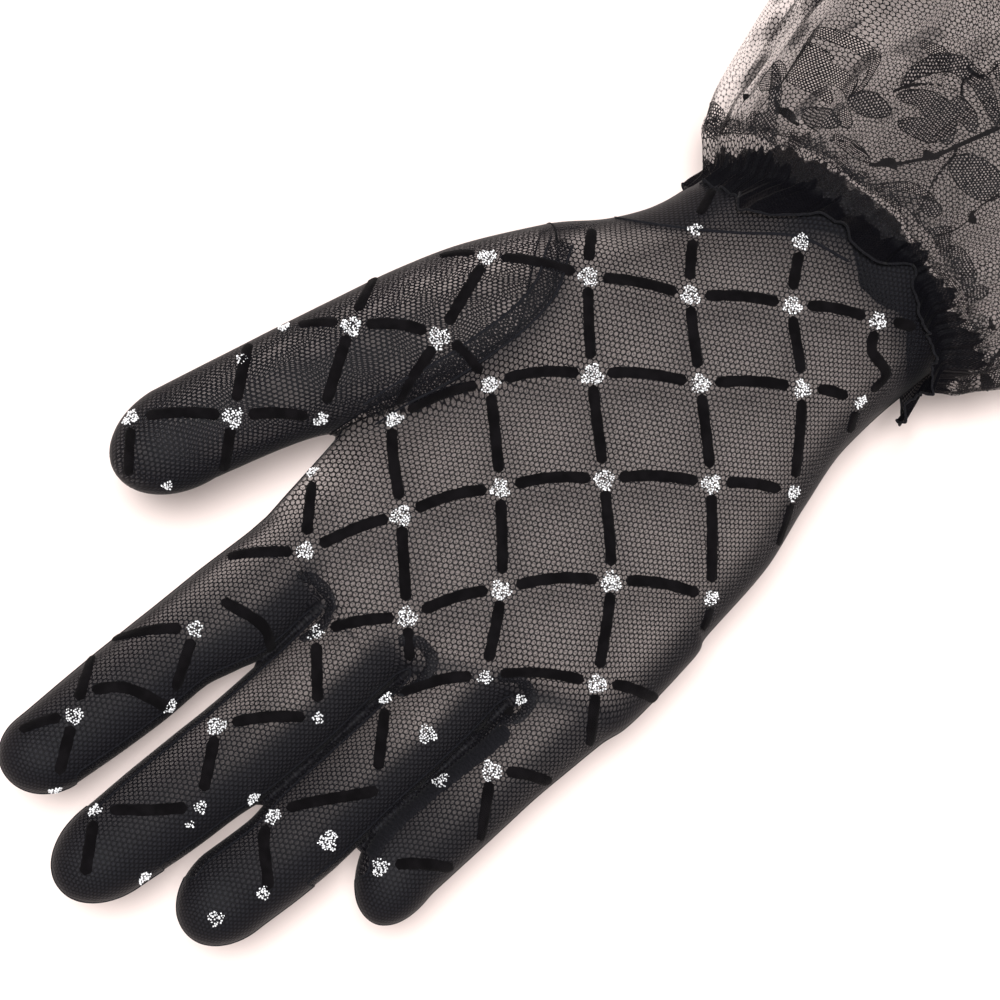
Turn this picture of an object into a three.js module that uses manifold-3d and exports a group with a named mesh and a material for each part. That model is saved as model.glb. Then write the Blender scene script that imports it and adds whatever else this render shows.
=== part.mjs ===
// Lace glove: a right-hand dress glove in its worn form, hollow, with fourchettes between the fingers,
// a set-in thumb, a gathered frill at the wrist and a flared lace cuff.
// Millimetres. +Y runs from the wrist to the fingertips, +X is the thumb's side, +Z is the palm's side.
// The origin is the middle of the wrist, where the hand goes in.
import * as THREE from 'three';
import { mergeVertices } from 'three/addons/utils/BufferGeometryUtils.js';
import Module from 'manifold-3d';

const wasm = await Module();
wasm.setup();

// Driving sizes
const WALL = 1.0;
const SEAM_GAP = 0.3;
const SECTION_POWER = 2.25;
const PALM_SIDES = 24;
const FINGER_SIDES = 16;
const FINGER_DEPTH_SHARE = 0.88;
const TIP_STEPS_DEG = [30, 58, 79];
const FOURCHETTE_WIDTH = 9.0;
const FOURCHETTE_STOP = 11.0;
const WRIST_HEM = 2.5;
const FAR = 70;

// The glove's middle surface bends towards the palm beyond the knuckles
const CURL_START_Y = 100;
const CURL_AT_TIP = 5.0;
const LONGEST_Y = 180;

const WRIST = { xMid: 0.5, half: 27.8, up: 18.2, down: 17.6 };

// The gather line round the wrist: turn from the thumb's side over the palm's side, and place along the arm
const GATHER_LINE = [
  { degrees: 0, y: 1.0 },
  { degrees: 25, y: -1.0 },
  { degrees: 45, y: -3.0 },
  { degrees: 60, y: -5.8 },
  { degrees: 75, y: -9.6 },
  { degrees: 90, y: -12.8 },
  { degrees: 105, y: -13.6 },
  { degrees: 125, y: -12.4 },
  { degrees: 150, y: -10.6 },
  { degrees: 180, y: -6.0 },
  { degrees: 200, y: -12.0 },
  { degrees: 220, y: -21.0 },
  { degrees: 240, y: -26.0 },
  { degrees: 270, y: -28.5 },
  { degrees: 295, y: -24.5 },
  { degrees: 315, y: -18.5 },
  { degrees: 335, y: -9.0 },
  { degrees: 360, y: 1.0 },
];
// Towards the cuff's hem the gather line's shape fades to this share about its middle
const GATHER_MIDDLE_Y = -12.0;
const CUFF_HEM_SHARE = 0.3;

// Hand of the glove without its thumb, from the wrist to the webs of the fingers
const PALM_SECTIONS = [
  { y: -24, left: -27.4, right: 28.4, up: 18.2, down: 17.6 },
  { y: 0, left: -27.3, right: 28.3, up: 18.2, down: 17.6 },
  { y: 12, left: -28.1, right: 29.4, up: 17.4, down: 16.6 },
  { y: 26, left: -31.9, right: 31.5, up: 16.2, down: 15.2 },
  { y: 40, left: -36.5, right: 32.5, up: 15.2, down: 14.2 },
  { y: 56, left: -39.0, right: 33.0, up: 14.4, down: 13.4 },
  { y: 70, left: -41.2, right: 32.8, up: 13.8, down: 12.8 },
  { y: 80, left: -42.1, right: 32.3, up: 13.4, down: 12.4 },
  { y: 86, left: -37.0, right: 31.9, up: 12.8, down: 11.8 },
  { y: 92, left: -27.5, right: 31.2, up: 11.6, down: 10.8 },
  { y: 99, left: -18.5, right: 29.6, up: 9.8, down: 9.2 },
  { y: 105, left: -11.0, right: 27.9, up: 7.8, down: 7.4 },
  { y: 109, left: 1.0, right: 25.0, up: 5.4, down: 5.2 },
];

// Finger sections: the axis' place across the hand and the half width
const FINGERS = [
  {
    name: 'index',
    tip: 175.2,
    tipShift: 0.8,
    sections: [
      { y: 76, mid: 21.0, half: 8.6 },
      { y: 96, mid: 20.6, half: 8.9 },
      { y: 110, mid: 20.0, half: 8.5 },
      { y: 124, mid: 19.5, half: 9.1 },
      { y: 140, mid: 19.5, half: 8.9 },
      { y: 154, mid: 19.7, half: 8.4 },
      { y: 166, mid: 19.8, half: 7.8 },
    ],
  },
  {
    name: 'middle',
    tip: 180.2,
    tipShift: 0.2,
    sections: [
      { y: 76, mid: 2.0, half: 9.2 },
      { y: 98, mid: 0.8, half: 9.6 },
      { y: 112, mid: 0.1, half: 9.8 },
      { y: 126, mid: -1.1, half: 9.8 },
      { y: 140, mid: -1.6, half: 9.7 },
      { y: 156, mid: -1.2, half: 9.2 },
      { y: 168, mid: -0.9, half: 8.5 },
    ],
  },
  {
    name: 'ring',
    tip: 167.4,
    tipShift: -0.4,
    sections: [
      { y: 70, mid: -15.5, half: 8.4 },
      { y: 92, mid: -16.6, half: 8.4 },
      { y: 106, mid: -18.0, half: 8.6 },
      { y: 122, mid: -19.4, half: 8.2 },
      { y: 136, mid: -20.3, half: 8.6 },
      { y: 148, mid: -20.7, half: 8.5 },
      { y: 156, mid: -20.4, half: 8.3 },
    ],
  },
  {
    name: 'little',
    tip: 139.9,
    tipShift: -3.2,
    sections: [
      { y: 60, mid: -31.4, half: 8.6 },
      { y: 80, mid: -33.3, half: 8.8 },
      { y: 92, mid: -33.8, half: 8.4 },
      { y: 104, mid: -34.8, half: 7.5 },
      { y: 116, mid: -35.4, half: 7.6 },
      { y: 128, mid: -35.8, half: 7.8 },
    ],
  },
];

// Thumb sections, cut square to the hand's axis; lift is the axis' height towards the palm
const THUMB = {
  name: 'thumb',
  tip: 126.2,
  tipShift: 1.2,
  depthShare: 0.86,
  sections: [
    { y: 10, mid: 14.0, half: 11.0, lift: 1.0 },
    { y: 22, mid: 18.4, half: 14.4, lift: 2.5 },
    { y: 34, mid: 23.6, half: 16.5, lift: 4.0 },
    { y: 48, mid: 29.9, half: 16.1, lift: 5.5 },
    { y: 62, mid: 35.4, half: 14.6, lift: 6.5 },
    { y: 74, mid: 39.5, half: 12.9, lift: 7.0 },
    { y: 86, mid: 43.4, half: 11.3, lift: 7.2 },
    { y: 98, mid: 46.6, half: 10.3, lift: 7.0 },
    { y: 112, mid: 49.7, half: 9.8, lift: 6.4 },
  ],
};

// Line of the thumb's seam seen from the palm, from the thumb side's outline to the web and on past it
const THUMB_SEAM = [
  { x: 60, y: 20 },
  { x: 39.2, y: 33.0 },
  { x: 33.2, y: 38.6 },
  { x: 28.6, y: 44.2 },
  { x: 27.0, y: 52.8 },
  { x: 27.4, y: 60.7 },
  { x: 28.9, y: 68.5 },
  { x: 30.9, y: 75.5 },
  { x: 32.4, y: 82.5 },
  { x: 33.4, y: 90.0 },
  { x: 36.0, y: 108 },
  { x: 40.0, y: 140 },
];

// Frill and cuff: distance along the arm from the gather line, spread at the sides, spread on palm and back,
// and depth of the folds
const FRILL_ROWS = [
  { along: 8.0, side: 0.4, face: 1.4, fold: 4.2 },
  { along: 3.6, side: 0.2, face: 0.6, fold: 3.0 },
  { along: 0.0, side: 0.0, face: 0.0, fold: 1.8 },
  { along: -2.4, side: 1.6, face: 1.0, fold: 2.4 },
  { along: -4.8, side: 3.4, face: 2.1, fold: 3.2 },
];
const CUFF_ROWS = [
  { along: -5.1, side: 3.6, face: 2.2, fold: 3.3 },
  { along: -12, side: 7.0, face: 4.2, fold: 4.5 },
  { along: -22, side: 10.2, face: 6.2, fold: 6.2 },
  { along: -32, side: 12.8, face: 7.6, fold: 7.2 },
  { along: -44, side: 15.2, face: 9.0, fold: 8.0 },
  { along: -58, side: 18.2, face: 10.4, fold: 8.6 },
  { along: -72, side: 21.2, face: 12.0, fold: 9.2 },
];
const HEM_SWAY = 3.4;
const RUFFLE_COLUMNS = 80;
const GATHER_SIDES = 36;
const MAIN_FOLDS = 11;
const SMALL_FOLDS = 18;
const MAIN_FOLD_SHARE = 0.66;

// Shared shape functions

function curl(y) {
  const along = Math.max(0, y - CURL_START_Y) / (LONGEST_Y - CURL_START_Y);
  return CURL_AT_TIP * along * along;
}

function rounded(value) {
  return Math.sign(value) * Math.pow(Math.abs(value), 2 / SECTION_POWER);
}

// The gather line's place at a turn, in straight runs between its rows
function gatherY(turn) {
  const degrees = THREE.MathUtils.euclideanModulo(THREE.MathUtils.radToDeg(turn), 360);
  const index = GATHER_LINE.findIndex((row) => row.degrees > degrees) - 1;
  const [before, after] = [GATHER_LINE[index], GATHER_LINE[index + 1]];
  const share = (degrees - before.degrees) / (after.degrees - before.degrees);
  return before.y + (after.y - before.y) * share;
}

// The same at a distance along the arm, where the line's shape fades out down the cuff
function ruffleY(turn, along) {
  const end = CUFF_ROWS[CUFF_ROWS.length - 1].along;
  const start = CUFF_ROWS[0].along;
  const reach = THREE.MathUtils.clamp((along - start) / (end - start), 0, 1);
  const keep = 1 - (1 - CUFF_HEM_SHARE) * reach;
  return along + GATHER_MIDDLE_Y + (gatherY(turn) - GATHER_MIDDLE_Y) * keep;
}

// A ring of points square to the Y axis
function sectionRing(section, sides) {
  const ring = [];
  for (let i = 0; i < sides; i += 1) {
    const turn = (2 * Math.PI * i) / sides;
    const rise = rounded(Math.sin(turn));
    const depth = rise > 0 ? section.up : section.down;
    ring.push([section.x + section.half * rounded(Math.cos(turn)), section.y, section.z + depth * rise]);
  }
  return ring;
}

// A closed solid through rings that follow one another along +Y
function skin(rings) {
  const sides = rings[0].length;
  const points = rings.flat();
  const faces = [];
  for (let r = 0; r < rings.length - 1; r += 1) {
    for (let i = 0; i < sides; i += 1) {
      const next = (i + 1) % sides;
      const a = r * sides + i;
      const b = r * sides + next;
      const c = (r + 1) * sides + i;
      const d = (r + 1) * sides + next;
      faces.push([a, c, b], [b, c, d]);
    }
  }
  const middle = (ring) => [0, 1, 2].map((k) => ring.reduce((sum, p) => sum + p[k], 0) / sides);
  const first = points.length;
  points.push(middle(rings[0]));
  const last = points.length;
  points.push(middle(rings[rings.length - 1]));
  const top = (rings.length - 1) * sides;
  for (let i = 0; i < sides; i += 1) {
    const next = (i + 1) % sides;
    faces.push([first, i, next], [last, top + next, top + i]);
  }
  return indexedGeometry(points, faces);
}

function indexedGeometry(points, faces) {
  const geometry = new THREE.BufferGeometry();
  geometry.setAttribute('position', new THREE.Float32BufferAttribute(points.flat(), 3));
  geometry.setIndex(faces.flat());
  return geometry;
}

function solidOf(geometry) {
  const bare = geometry.clone();
  bare.deleteAttribute('normal');
  bare.deleteAttribute('uv');
  const merged = mergeVertices(bare, 1e-4);
  return new wasm.Manifold(new wasm.Mesh({
    numProp: 3,
    vertProperties: new Float32Array(merged.attributes.position.array),
    triVerts: new Uint32Array(merged.index.array),
  }));
}

function geometryOf(solid) {
  const mesh = solid.getMesh();
  const geometry = new THREE.BufferGeometry();
  geometry.setAttribute('position', new THREE.BufferAttribute(new Float32Array(mesh.vertProperties), 3));
  geometry.setIndex(new THREE.BufferAttribute(new Uint32Array(mesh.triVerts), 1));
  geometry.computeVertexNormals();
  return geometry;
}

function union(solids) {
  return solids.reduce((whole, solid) => whole.add(solid));
}

// Hand and fingers, drawn in by inset for the hollow

function palmSolid(inset, startY) {
  const rings = PALM_SECTIONS.map((row, index) => sectionRing({
    x: (row.left + row.right) / 2,
    y: index === 0 ? startY : Math.min(row.y, PALM_SECTIONS[PALM_SECTIONS.length - 1].y - inset),
    z: curl(row.y),
    half: (row.right - row.left) / 2 - inset,
    up: row.up - inset,
    down: row.down - inset,
  }, PALM_SIDES));
  return solidOf(skin(rings));
}

function fingerSolid(finger, inset) {
  const share = finger.depthShare ?? FINGER_DEPTH_SHARE;
  const last = finger.sections[finger.sections.length - 1];
  const height = (row) => (row.lift ?? 0) + curl(row.y);
  const rings = finger.sections.map((row) => sectionRing({
    x: row.mid,
    y: row.y,
    z: height(row),
    half: row.half - inset,
    up: row.half * share - inset,
    down: row.half * share - inset,
  }, FINGER_SIDES));
  const reach = finger.tip - inset - last.y;
  for (const degrees of TIP_STEPS_DEG) {
    const turn = THREE.MathUtils.degToRad(degrees);
    const y = last.y + reach * Math.sin(turn);
    rings.push(sectionRing({
      x: last.mid + finger.tipShift * Math.sin(turn),
      y,
      z: (last.lift ?? 0) + curl(y),
      half: (last.half - inset) * Math.cos(turn),
      up: (last.half * share - inset) * Math.cos(turn),
      down: (last.half * share - inset) * Math.cos(turn),
    }, FINGER_SIDES));
  }
  return solidOf(skin(rings));
}

function handSolid(inset, startY) {
  const fingers = [...FINGERS, THUMB].map((finger) => fingerSolid(finger, inset));
  return union([palmSolid(inset, startY), ...fingers]);
}

// Cutters

function prism(outline, low, high) {
  const shape = new THREE.Shape(outline.map((p) => new THREE.Vector2(p.x, p.y)));
  const geometry = new THREE.ExtrudeGeometry(shape, { depth: high - low, bevelEnabled: false });
  geometry.translate(0, 0, low);
  return geometry;
}

// An outline of y and z carried along X
function crossPrism(outline) {
  const turned = outline.map((p) => ({ x: p.y, y: p.z }));
  const geometry = prism(turned, -FAR, FAR);
  geometry.applyMatrix4(new THREE.Matrix4().makeBasis(
    new THREE.Vector3(0, 1, 0),
    new THREE.Vector3(0, 0, 1),
    new THREE.Vector3(1, 0, 0),
  ));
  return solidOf(geometry);
}

const CURL_STATIONS = [60, 90, 105, 120, 135, 150, 165, 175, 190];

// The half of the glove above (side 1) or below (side -1) its middle surface
function halfCutter(side) {
  const seam = CURL_STATIONS.map((y) => ({ y, z: curl(y) + (side * SEAM_GAP) / 2 })).reverse();
  const start = { y: -FAR, z: (side * SEAM_GAP) / 2 };
  const far = CURL_STATIONS[CURL_STATIONS.length - 1];
  return crossPrism([start, { y: -FAR, z: side * FAR }, { y: far, z: side * FAR }, ...seam]);
}

// Everything beyond the wrist's hem, as a plug whose end follows the gather line
function wristCutter() {
  const ring = (scale, place) => {
    const points = [];
    for (let i = 0; i < GATHER_SIDES; i += 1) {
      const turn = (2 * Math.PI * i) / GATHER_SIDES;
      const depth = Math.sin(turn) > 0 ? WRIST.up : WRIST.down;
      const x = WRIST.xMid + scale * WRIST.half * rounded(Math.cos(turn));
      points.push([x, place(turn), scale * depth * rounded(Math.sin(turn))]);
    }
    return points;
  };
  const hem = (turn) => gatherY(turn) - WRIST_HEM;
  return solidOf(skin([ring(1.6, () => -FAR), ring(1.6, hem), ring(0.5, hem)]));
}

function axisAt(finger, y) {
  const rows = finger.sections;
  const index = Math.max(0, rows.findIndex((row) => row.y > y) - 1);
  if (y >= rows[rows.length - 1].y) {
    return rows[rows.length - 1].mid;
  }
  const share = (y - rows[index].y) / (rows[index + 1].y - rows[index].y);
  return rows[index].mid + share * (rows[index + 1].mid - rows[index].mid);
}

// The space between two neighbouring finger axes, as deep as a fourchette is wide
function fourchetteCutter(first, second, grow) {
  const base = second.sections[2].y - 8;
  const stops = [first, second].map((finger) => finger.tip - FOURCHETTE_STOP + grow);
  const stations = (finger, stop) => [base, base + 10, base + 20, base + 32, stop].map((y) => ({
    x: axisAt(finger, y),
    y,
  }));
  const right = stations(first, stops[0]);
  const left = stations(second, stops[1]).reverse();
  const across = solidOf(prism([...right, ...left], -FAR, FAR));
  const half = FOURCHETTE_WIDTH / 2 + grow;
  const below = CURL_STATIONS.map((y) => ({ y, z: curl(y) - half }));
  const above = CURL_STATIONS.map((y) => ({ y, z: curl(y) + half })).reverse();
  return across.intersect(crossPrism([...below, ...above]));
}

function thumbCutter(grow) {
  const seam = THUMB_SEAM.map((p) => ({ x: p.x - grow, y: p.y - 0.8 * grow }));
  const outline = [{ x: FAR, y: seam[0].y }, { x: FAR, y: 140 }, ...seam.reverse()];
  return solidOf(prism(outline, -FAR, FAR));
}

// Ruffles: a wall whose middle surface is ringPoint(turn, row)

function foldWave(turn, along) {
  const drift = along * 0.006;
  const main = Math.cos(MAIN_FOLDS * turn + 0.5 * Math.sin(3 * turn) + 1.3 + drift);
  const small = Math.cos(SMALL_FOLDS * turn + 1.3 * Math.sin(2 * turn + 1) - 2 * drift);
  return 0.5 + 0.5 * (MAIN_FOLD_SHARE * main + (1 - MAIN_FOLD_SHARE) * small);
}

function ringPoint(turn, row) {
  const cosine = Math.cos(turn);
  const sine = Math.sin(turn);
  const flat = sine * sine;
  const wave = foldWave(turn, row.along);
  const spread = row.side * (1 - flat) + row.face * flat;
  const out = SEAM_GAP + WALL / 2 + spread + row.fold * wave;
  const sway = HEM_SWAY * Math.max(0, row.along / FRILL_ROWS[0].along) * (wave - 0.5);
  const depth = sine > 0 ? WRIST.up : WRIST.down;
  return new THREE.Vector3(
    WRIST.xMid + (WRIST.half + out) * rounded(cosine),
    ruffleY(turn, row.along) + sway,
    (depth + out) * rounded(sine),
  );
}

function ruffle(rows) {
  const columns = RUFFLE_COLUMNS;
  const middle = rows.map((row) => {
    const ring = [];
    for (let i = 0; i < columns; i += 1) {
      ring.push(ringPoint((2 * Math.PI * (i + 0.5)) / columns, row));
    }
    return ring;
  });
  const outer = [];
  const inner = [];
  for (let r = 0; r < rows.length; r += 1) {
    const before = middle[Math.max(0, r - 1)];
    const after = middle[Math.min(rows.length - 1, r + 1)];
    for (let i = 0; i < columns; i += 1) {
      const around = middle[r][(i + 1) % columns].clone().sub(middle[r][(i + columns - 1) % columns]);
      const along = before[i].clone().sub(after[i]);
      const normal = along.cross(around).normalize();
      outer.push(middle[r][i].clone().addScaledVector(normal, WALL / 2).toArray());
      inner.push(middle[r][i].clone().addScaledVector(normal, -WALL / 2).toArray());
    }
  }
  const points = [...outer, ...inner];
  const faces = [];
  const quad = (a, b, c, d) => faces.push([a, b, c], [a, c, d]);
  const shift = outer.length;
  for (let i = 0; i < columns; i += 1) {
    const next = (i + 1) % columns;
    for (let r = 0; r < rows.length - 1; r += 1) {
      const a = r * columns + i;
      const b = r * columns + next;
      const c = (r + 1) * columns + next;
      const d = (r + 1) * columns + i;
      quad(a, b, c, d);
      quad(shift + a, shift + d, shift + c, shift + b);
    }
    const end = (rows.length - 1) * columns;
    quad(i, shift + i, shift + next, next);
    quad(end + i, end + next, shift + end + next, shift + end + i);
  }
  return indexedGeometry(points, faces);
}

// Materials
const NET_BLACK = { color: 0x201f22, roughness: 0.8, metalness: 0 };
const FRILL_BLACK = { color: 0x17161a, roughness: 0.9, metalness: 0 };
const LACE_BLACK = { color: 0x1d1b1f, roughness: 0.85, metalness: 0 };

const glove = new THREE.Group();

function addPiece(name, geometry, look) {
  const mesh = new THREE.Mesh(geometry, new THREE.MeshStandardMaterial(look));
  mesh.name = name;
  glove.add(mesh);
}

// Net glove: an outer form less its hollow, divided along the seams
const shell = handSolid(0, -44).subtract(handSolid(WALL, -60)).subtract(wristCutter());
const pairs = FINGERS.slice(1).map((second, index) => [FINGERS[index], second]);
const withoutThumb = shell.subtract(thumbCutter(SEAM_GAP));
const gaps = pairs.map(([first, second]) => fourchetteCutter(first, second, SEAM_GAP));
const trank = gaps.reduce((rest, cutter) => rest.subtract(cutter), withoutThumb);

addPiece('palm_panel', geometryOf(trank.intersect(halfCutter(1))), NET_BLACK);
addPiece('back_panel', geometryOf(trank.intersect(halfCutter(-1))), NET_BLACK);
for (const [first, second] of pairs) {
  const strip = shell.intersect(fourchetteCutter(first, second, 0));
  addPiece(`fourchette_${first.name}_${second.name}`, geometryOf(strip), NET_BLACK);
}
addPiece('thumb', geometryOf(shell.intersect(thumbCutter(0))), NET_BLACK);
addPiece('wrist_frill', ruffle(FRILL_ROWS), FRILL_BLACK);
addPiece('lace_cuff', ruffle(CUFF_ROWS), LACE_BLACK);

export default glove;
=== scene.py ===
# Lace glove: a sheer net hand with flocked bars and glitter dots, a dense wrist frill and a flared lace cuff.
# Shapes are worked out in millimetres in the model's frame and built in metres.
import math

import bpy
import numpy as np
from mathutils import Matrix, Vector
from mathutils.bvhtree import BVHTree


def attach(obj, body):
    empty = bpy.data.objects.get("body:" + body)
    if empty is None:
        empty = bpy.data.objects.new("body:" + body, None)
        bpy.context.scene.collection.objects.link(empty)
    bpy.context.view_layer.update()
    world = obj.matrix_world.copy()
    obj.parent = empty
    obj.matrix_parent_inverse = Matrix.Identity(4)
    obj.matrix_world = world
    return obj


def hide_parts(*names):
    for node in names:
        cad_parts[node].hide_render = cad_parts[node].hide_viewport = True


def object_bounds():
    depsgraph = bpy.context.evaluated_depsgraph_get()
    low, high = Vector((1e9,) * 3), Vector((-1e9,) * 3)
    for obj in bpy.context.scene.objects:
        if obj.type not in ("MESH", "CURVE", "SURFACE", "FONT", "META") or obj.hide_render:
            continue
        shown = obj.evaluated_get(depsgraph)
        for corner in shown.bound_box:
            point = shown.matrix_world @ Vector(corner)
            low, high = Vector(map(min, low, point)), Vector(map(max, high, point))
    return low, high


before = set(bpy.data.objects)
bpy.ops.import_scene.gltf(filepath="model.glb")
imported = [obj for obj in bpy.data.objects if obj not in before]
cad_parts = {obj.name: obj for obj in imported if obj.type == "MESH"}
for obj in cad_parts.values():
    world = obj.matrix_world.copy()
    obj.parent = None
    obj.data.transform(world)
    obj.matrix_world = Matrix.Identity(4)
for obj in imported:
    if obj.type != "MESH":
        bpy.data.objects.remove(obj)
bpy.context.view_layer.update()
MM = 0.001
rng = np.random.default_rng(7)

# Camera: tilt from straight above the palm, distance, scale at that distance and the picture's axes

TILT = math.radians(14)
CAMERA_DISTANCE = 750.0
MM_PER_PIXEL = 0.19
PICTURE_MIDDLE = np.array([500.0, 500.0])
ACROSS = np.array([1.0, 0.0, 0.0])
UPHAND = np.array([0.0, math.cos(TILT), -math.sin(TILT)])
TOWARDS = np.array([0.0, math.sin(TILT), math.cos(TILT)])
PICTURE_RIGHT = np.array([-0.62186, -0.78313])
PICTURE_DOWN = np.array([-0.78313, 0.62186])
AIM = np.array([4.6152, 67.3026, -16.7804])
EYE = AIM + CAMERA_DISTANCE * TOWARDS


def pixel_ray(px, py):
    """Direction from the camera through a pixel of the photograph."""
    away = np.array([px, py]) - PICTURE_MIDDLE
    side, up = away @ PICTURE_RIGHT * MM_PER_PIXEL, away @ PICTURE_DOWN * MM_PER_PIXEL
    ray = side * ACROSS + up * UPHAND - CAMERA_DISTANCE * TOWARDS
    return ray / np.linalg.norm(ray)


def add_camera():
    right = PICTURE_RIGHT[0] * ACROSS + PICTURE_RIGHT[1] * UPHAND
    up = -(PICTURE_DOWN[0] * ACROSS + PICTURE_DOWN[1] * UPHAND)
    data = bpy.data.cameras.new("camera")
    data.sensor_width = 36.0
    data.lens = 36.0 * CAMERA_DISTANCE / (1000 * MM_PER_PIXEL)
    data.clip_start, data.clip_end = 0.01, 20.0
    camera = bpy.data.objects.new("camera", data)
    bpy.context.collection.objects.link(camera)
    turn = Matrix([[right[i], up[i], TOWARDS[i]] for i in range(3)])
    camera.matrix_world = Matrix.Translation(Vector(EYE * MM)) @ turn.to_4x4()
    bpy.context.scene.camera = camera


add_camera()

# Sizes of the glove, as in the solids

POWER = 2.25
CURL_START_Y, CURL_AT_TIP, LONGEST_Y = 100.0, 5.0, 180.0
WRIST_MID, WRIST_HALF, WRIST_UP, WRIST_DOWN = 0.5, 27.8, 18.2, 17.6
GATHER_MIDDLE_Y, CUFF_HEM_SHARE = -12.0, 0.3
WRIST_HEM = 2.5
FINGER_DEPTH = 0.88
THUMB_DEPTH = 0.86
FOURCHETTE_HALF = 4.5
FOURCHETTE_STOP = 11.0

# y, left, right, up, down
PALM_ROWS = [
    (-24, -27.4, 28.4, 18.2, 17.6), (0, -27.3, 28.3, 18.2, 17.6), (12, -28.1, 29.4, 17.4, 16.6),
    (26, -31.9, 31.5, 16.2, 15.2), (40, -36.5, 32.5, 15.2, 14.2), (56, -39.0, 33.0, 14.4, 13.4),
    (70, -41.2, 32.8, 13.8, 12.8), (80, -42.1, 32.3, 13.4, 12.4), (86, -37.0, 31.9, 12.8, 11.8),
    (92, -27.5, 31.2, 11.6, 10.8), (99, -18.5, 29.6, 9.8, 9.2), (105, -11.0, 27.9, 7.8, 7.4),
    (109, 1.0, 25.0, 5.4, 5.2), (111.5, 12.0, 14.0, 1.0, 1.0),
]
# name: tip, shift at the tip, rows of y, middle, half width
FINGERS = {
    "index": (175.2, 0.8, [(76, 21.0, 8.6), (96, 20.3, 9.2), (110, 19.1, 9.4), (124, 18.7, 9.9),
                           (130, 19.3, 9.2), (137, 19.9, 8.5), (146, 19.7, 8.6), (154, 19.7, 8.4),
                           (166, 19.8, 7.8)]),
    "middle": (180.2, 0.2, [(76, 2.0, 9.2), (98, 0.8, 9.6), (112, 0.1, 9.8), (126, -1.1, 9.8),
                            (140, -1.6, 9.7), (147, -1.3, 9.4), (156, -1.2, 9.2), (168, -0.9, 8.5)]),
    "ring": (167.4, -0.4, [(70, -15.5, 8.4), (92, -16.6, 8.4), (106, -18.0, 8.7), (122, -19.1, 8.6),
                           (138, -20.2, 8.8), (146, -20.8, 8.3), (156, -20.4, 8.3)]),
    "little": (139.9, -3.2, [(60, -31.4, 8.6), (80, -33.3, 8.8), (92, -33.6, 8.6), (104, -34.5, 7.9),
                             (116, -35.2, 7.9), (128, -35.7, 8.0)]),
}
THUMB_TIP, THUMB_SHIFT = 126.2, 1.2
# y, middle, half width, height of the axis
THUMB_ROWS = [
    (10, 14.0, 11.0, 1.0), (22, 18.4, 14.4, 2.5), (34, 23.6, 16.5, 4.0), (48, 29.9, 16.1, 5.5),
    (62, 35.4, 14.6, 6.5), (74, 39.5, 12.9, 7.0), (86, 43.4, 11.3, 7.2), (98, 46.6, 10.3, 7.0),
    (112, 49.7, 9.8, 6.4),
]
# Gather line: turn round the wrist in degrees from the thumb's side over the palm's side, and y
GATHER_LINE = [
    (0, 1.0), (25, -1.0), (45, -3.0), (60, -5.8), (75, -9.6), (90, -12.8), (105, -13.6), (125, -12.4),
    (150, -10.6), (180, -6.0), (200, -12.0), (220, -21.0), (240, -26.0), (270, -28.5), (295, -24.5),
    (315, -18.5), (335, -9.0), (360, 1.0),
]
# x, y
THUMB_SEAM = [
    (60, 20), (39.2, 33.0), (33.2, 38.6), (28.6, 44.2), (27.0, 52.8), (27.4, 60.7), (28.9, 68.5),
    (30.9, 75.5), (32.4, 82.5), (33.4, 90.0), (36.0, 108), (40.0, 140),
]

# Small mathematics


def steady(xs, ys):
    """A smooth curve through points that never overshoots them, as a function."""
    xs, ys = np.array(xs, float), np.array(ys, float)
    run = np.diff(xs)
    rise = np.diff(ys) / run
    slope = np.concatenate([rise[:1], np.zeros(len(xs) - 2), rise[-1:]])
    for i in range(1, len(xs) - 1):
        if rise[i - 1] * rise[i] > 0:
            a, b = 2 * run[i] + run[i - 1], run[i] + 2 * run[i - 1]
            slope[i] = (a + b) / (a / rise[i - 1] + b / rise[i])

    def at(x):
        x = np.clip(x, xs[0], xs[-1])
        i = np.clip(np.searchsorted(xs, x) - 1, 0, len(xs) - 2)
        t = (x - xs[i]) / run[i]
        start = (1 + 2 * t) * (1 - t) ** 2 * ys[i] + t * (1 - t) ** 2 * run[i] * slope[i]
        end = t * t * (3 - 2 * t) * ys[i + 1] + t * t * (t - 1) * run[i] * slope[i + 1]
        return start + end

    return at


def column(rows, k=1):
    """A steady curve through one column of a table, over its first column."""
    return steady([row[0] for row in rows], [row[k] for row in rows])


def ramp(x, low, high):
    """0 below low, 1 above high and smooth between."""
    t = np.clip((x - low) / (high - low), 0, 1)
    return t * t * (3 - 2 * t)


def curl(y):
    return CURL_AT_TIP * (np.maximum(0, y - CURL_START_Y) / (LONGEST_Y - CURL_START_Y)) ** 2


def rounded(v):
    return np.sign(v) * np.abs(v) ** (2 / POWER)


def gather_y(turn):
    return np.interp(np.degrees(turn) % 360, [row[0] for row in GATHER_LINE], [row[1] for row in GATHER_LINE])


def unit(v):
    return v / np.maximum(np.linalg.norm(v, axis=-1, keepdims=True), 1e-9)


def distance_run(line):
    """Distance along a line at each of its points."""
    return np.concatenate([[0], np.cumsum(np.linalg.norm(np.diff(line, axis=0), axis=1))])


# Hand of the glove as a field: below zero inside

palm_left, palm_right, palm_up, palm_down = [column(PALM_ROWS, k) for k in (1, 2, 3, 4)]
seam_x = steady([p[1] for p in THUMB_SEAM], [p[0] for p in THUMB_SEAM])


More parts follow.
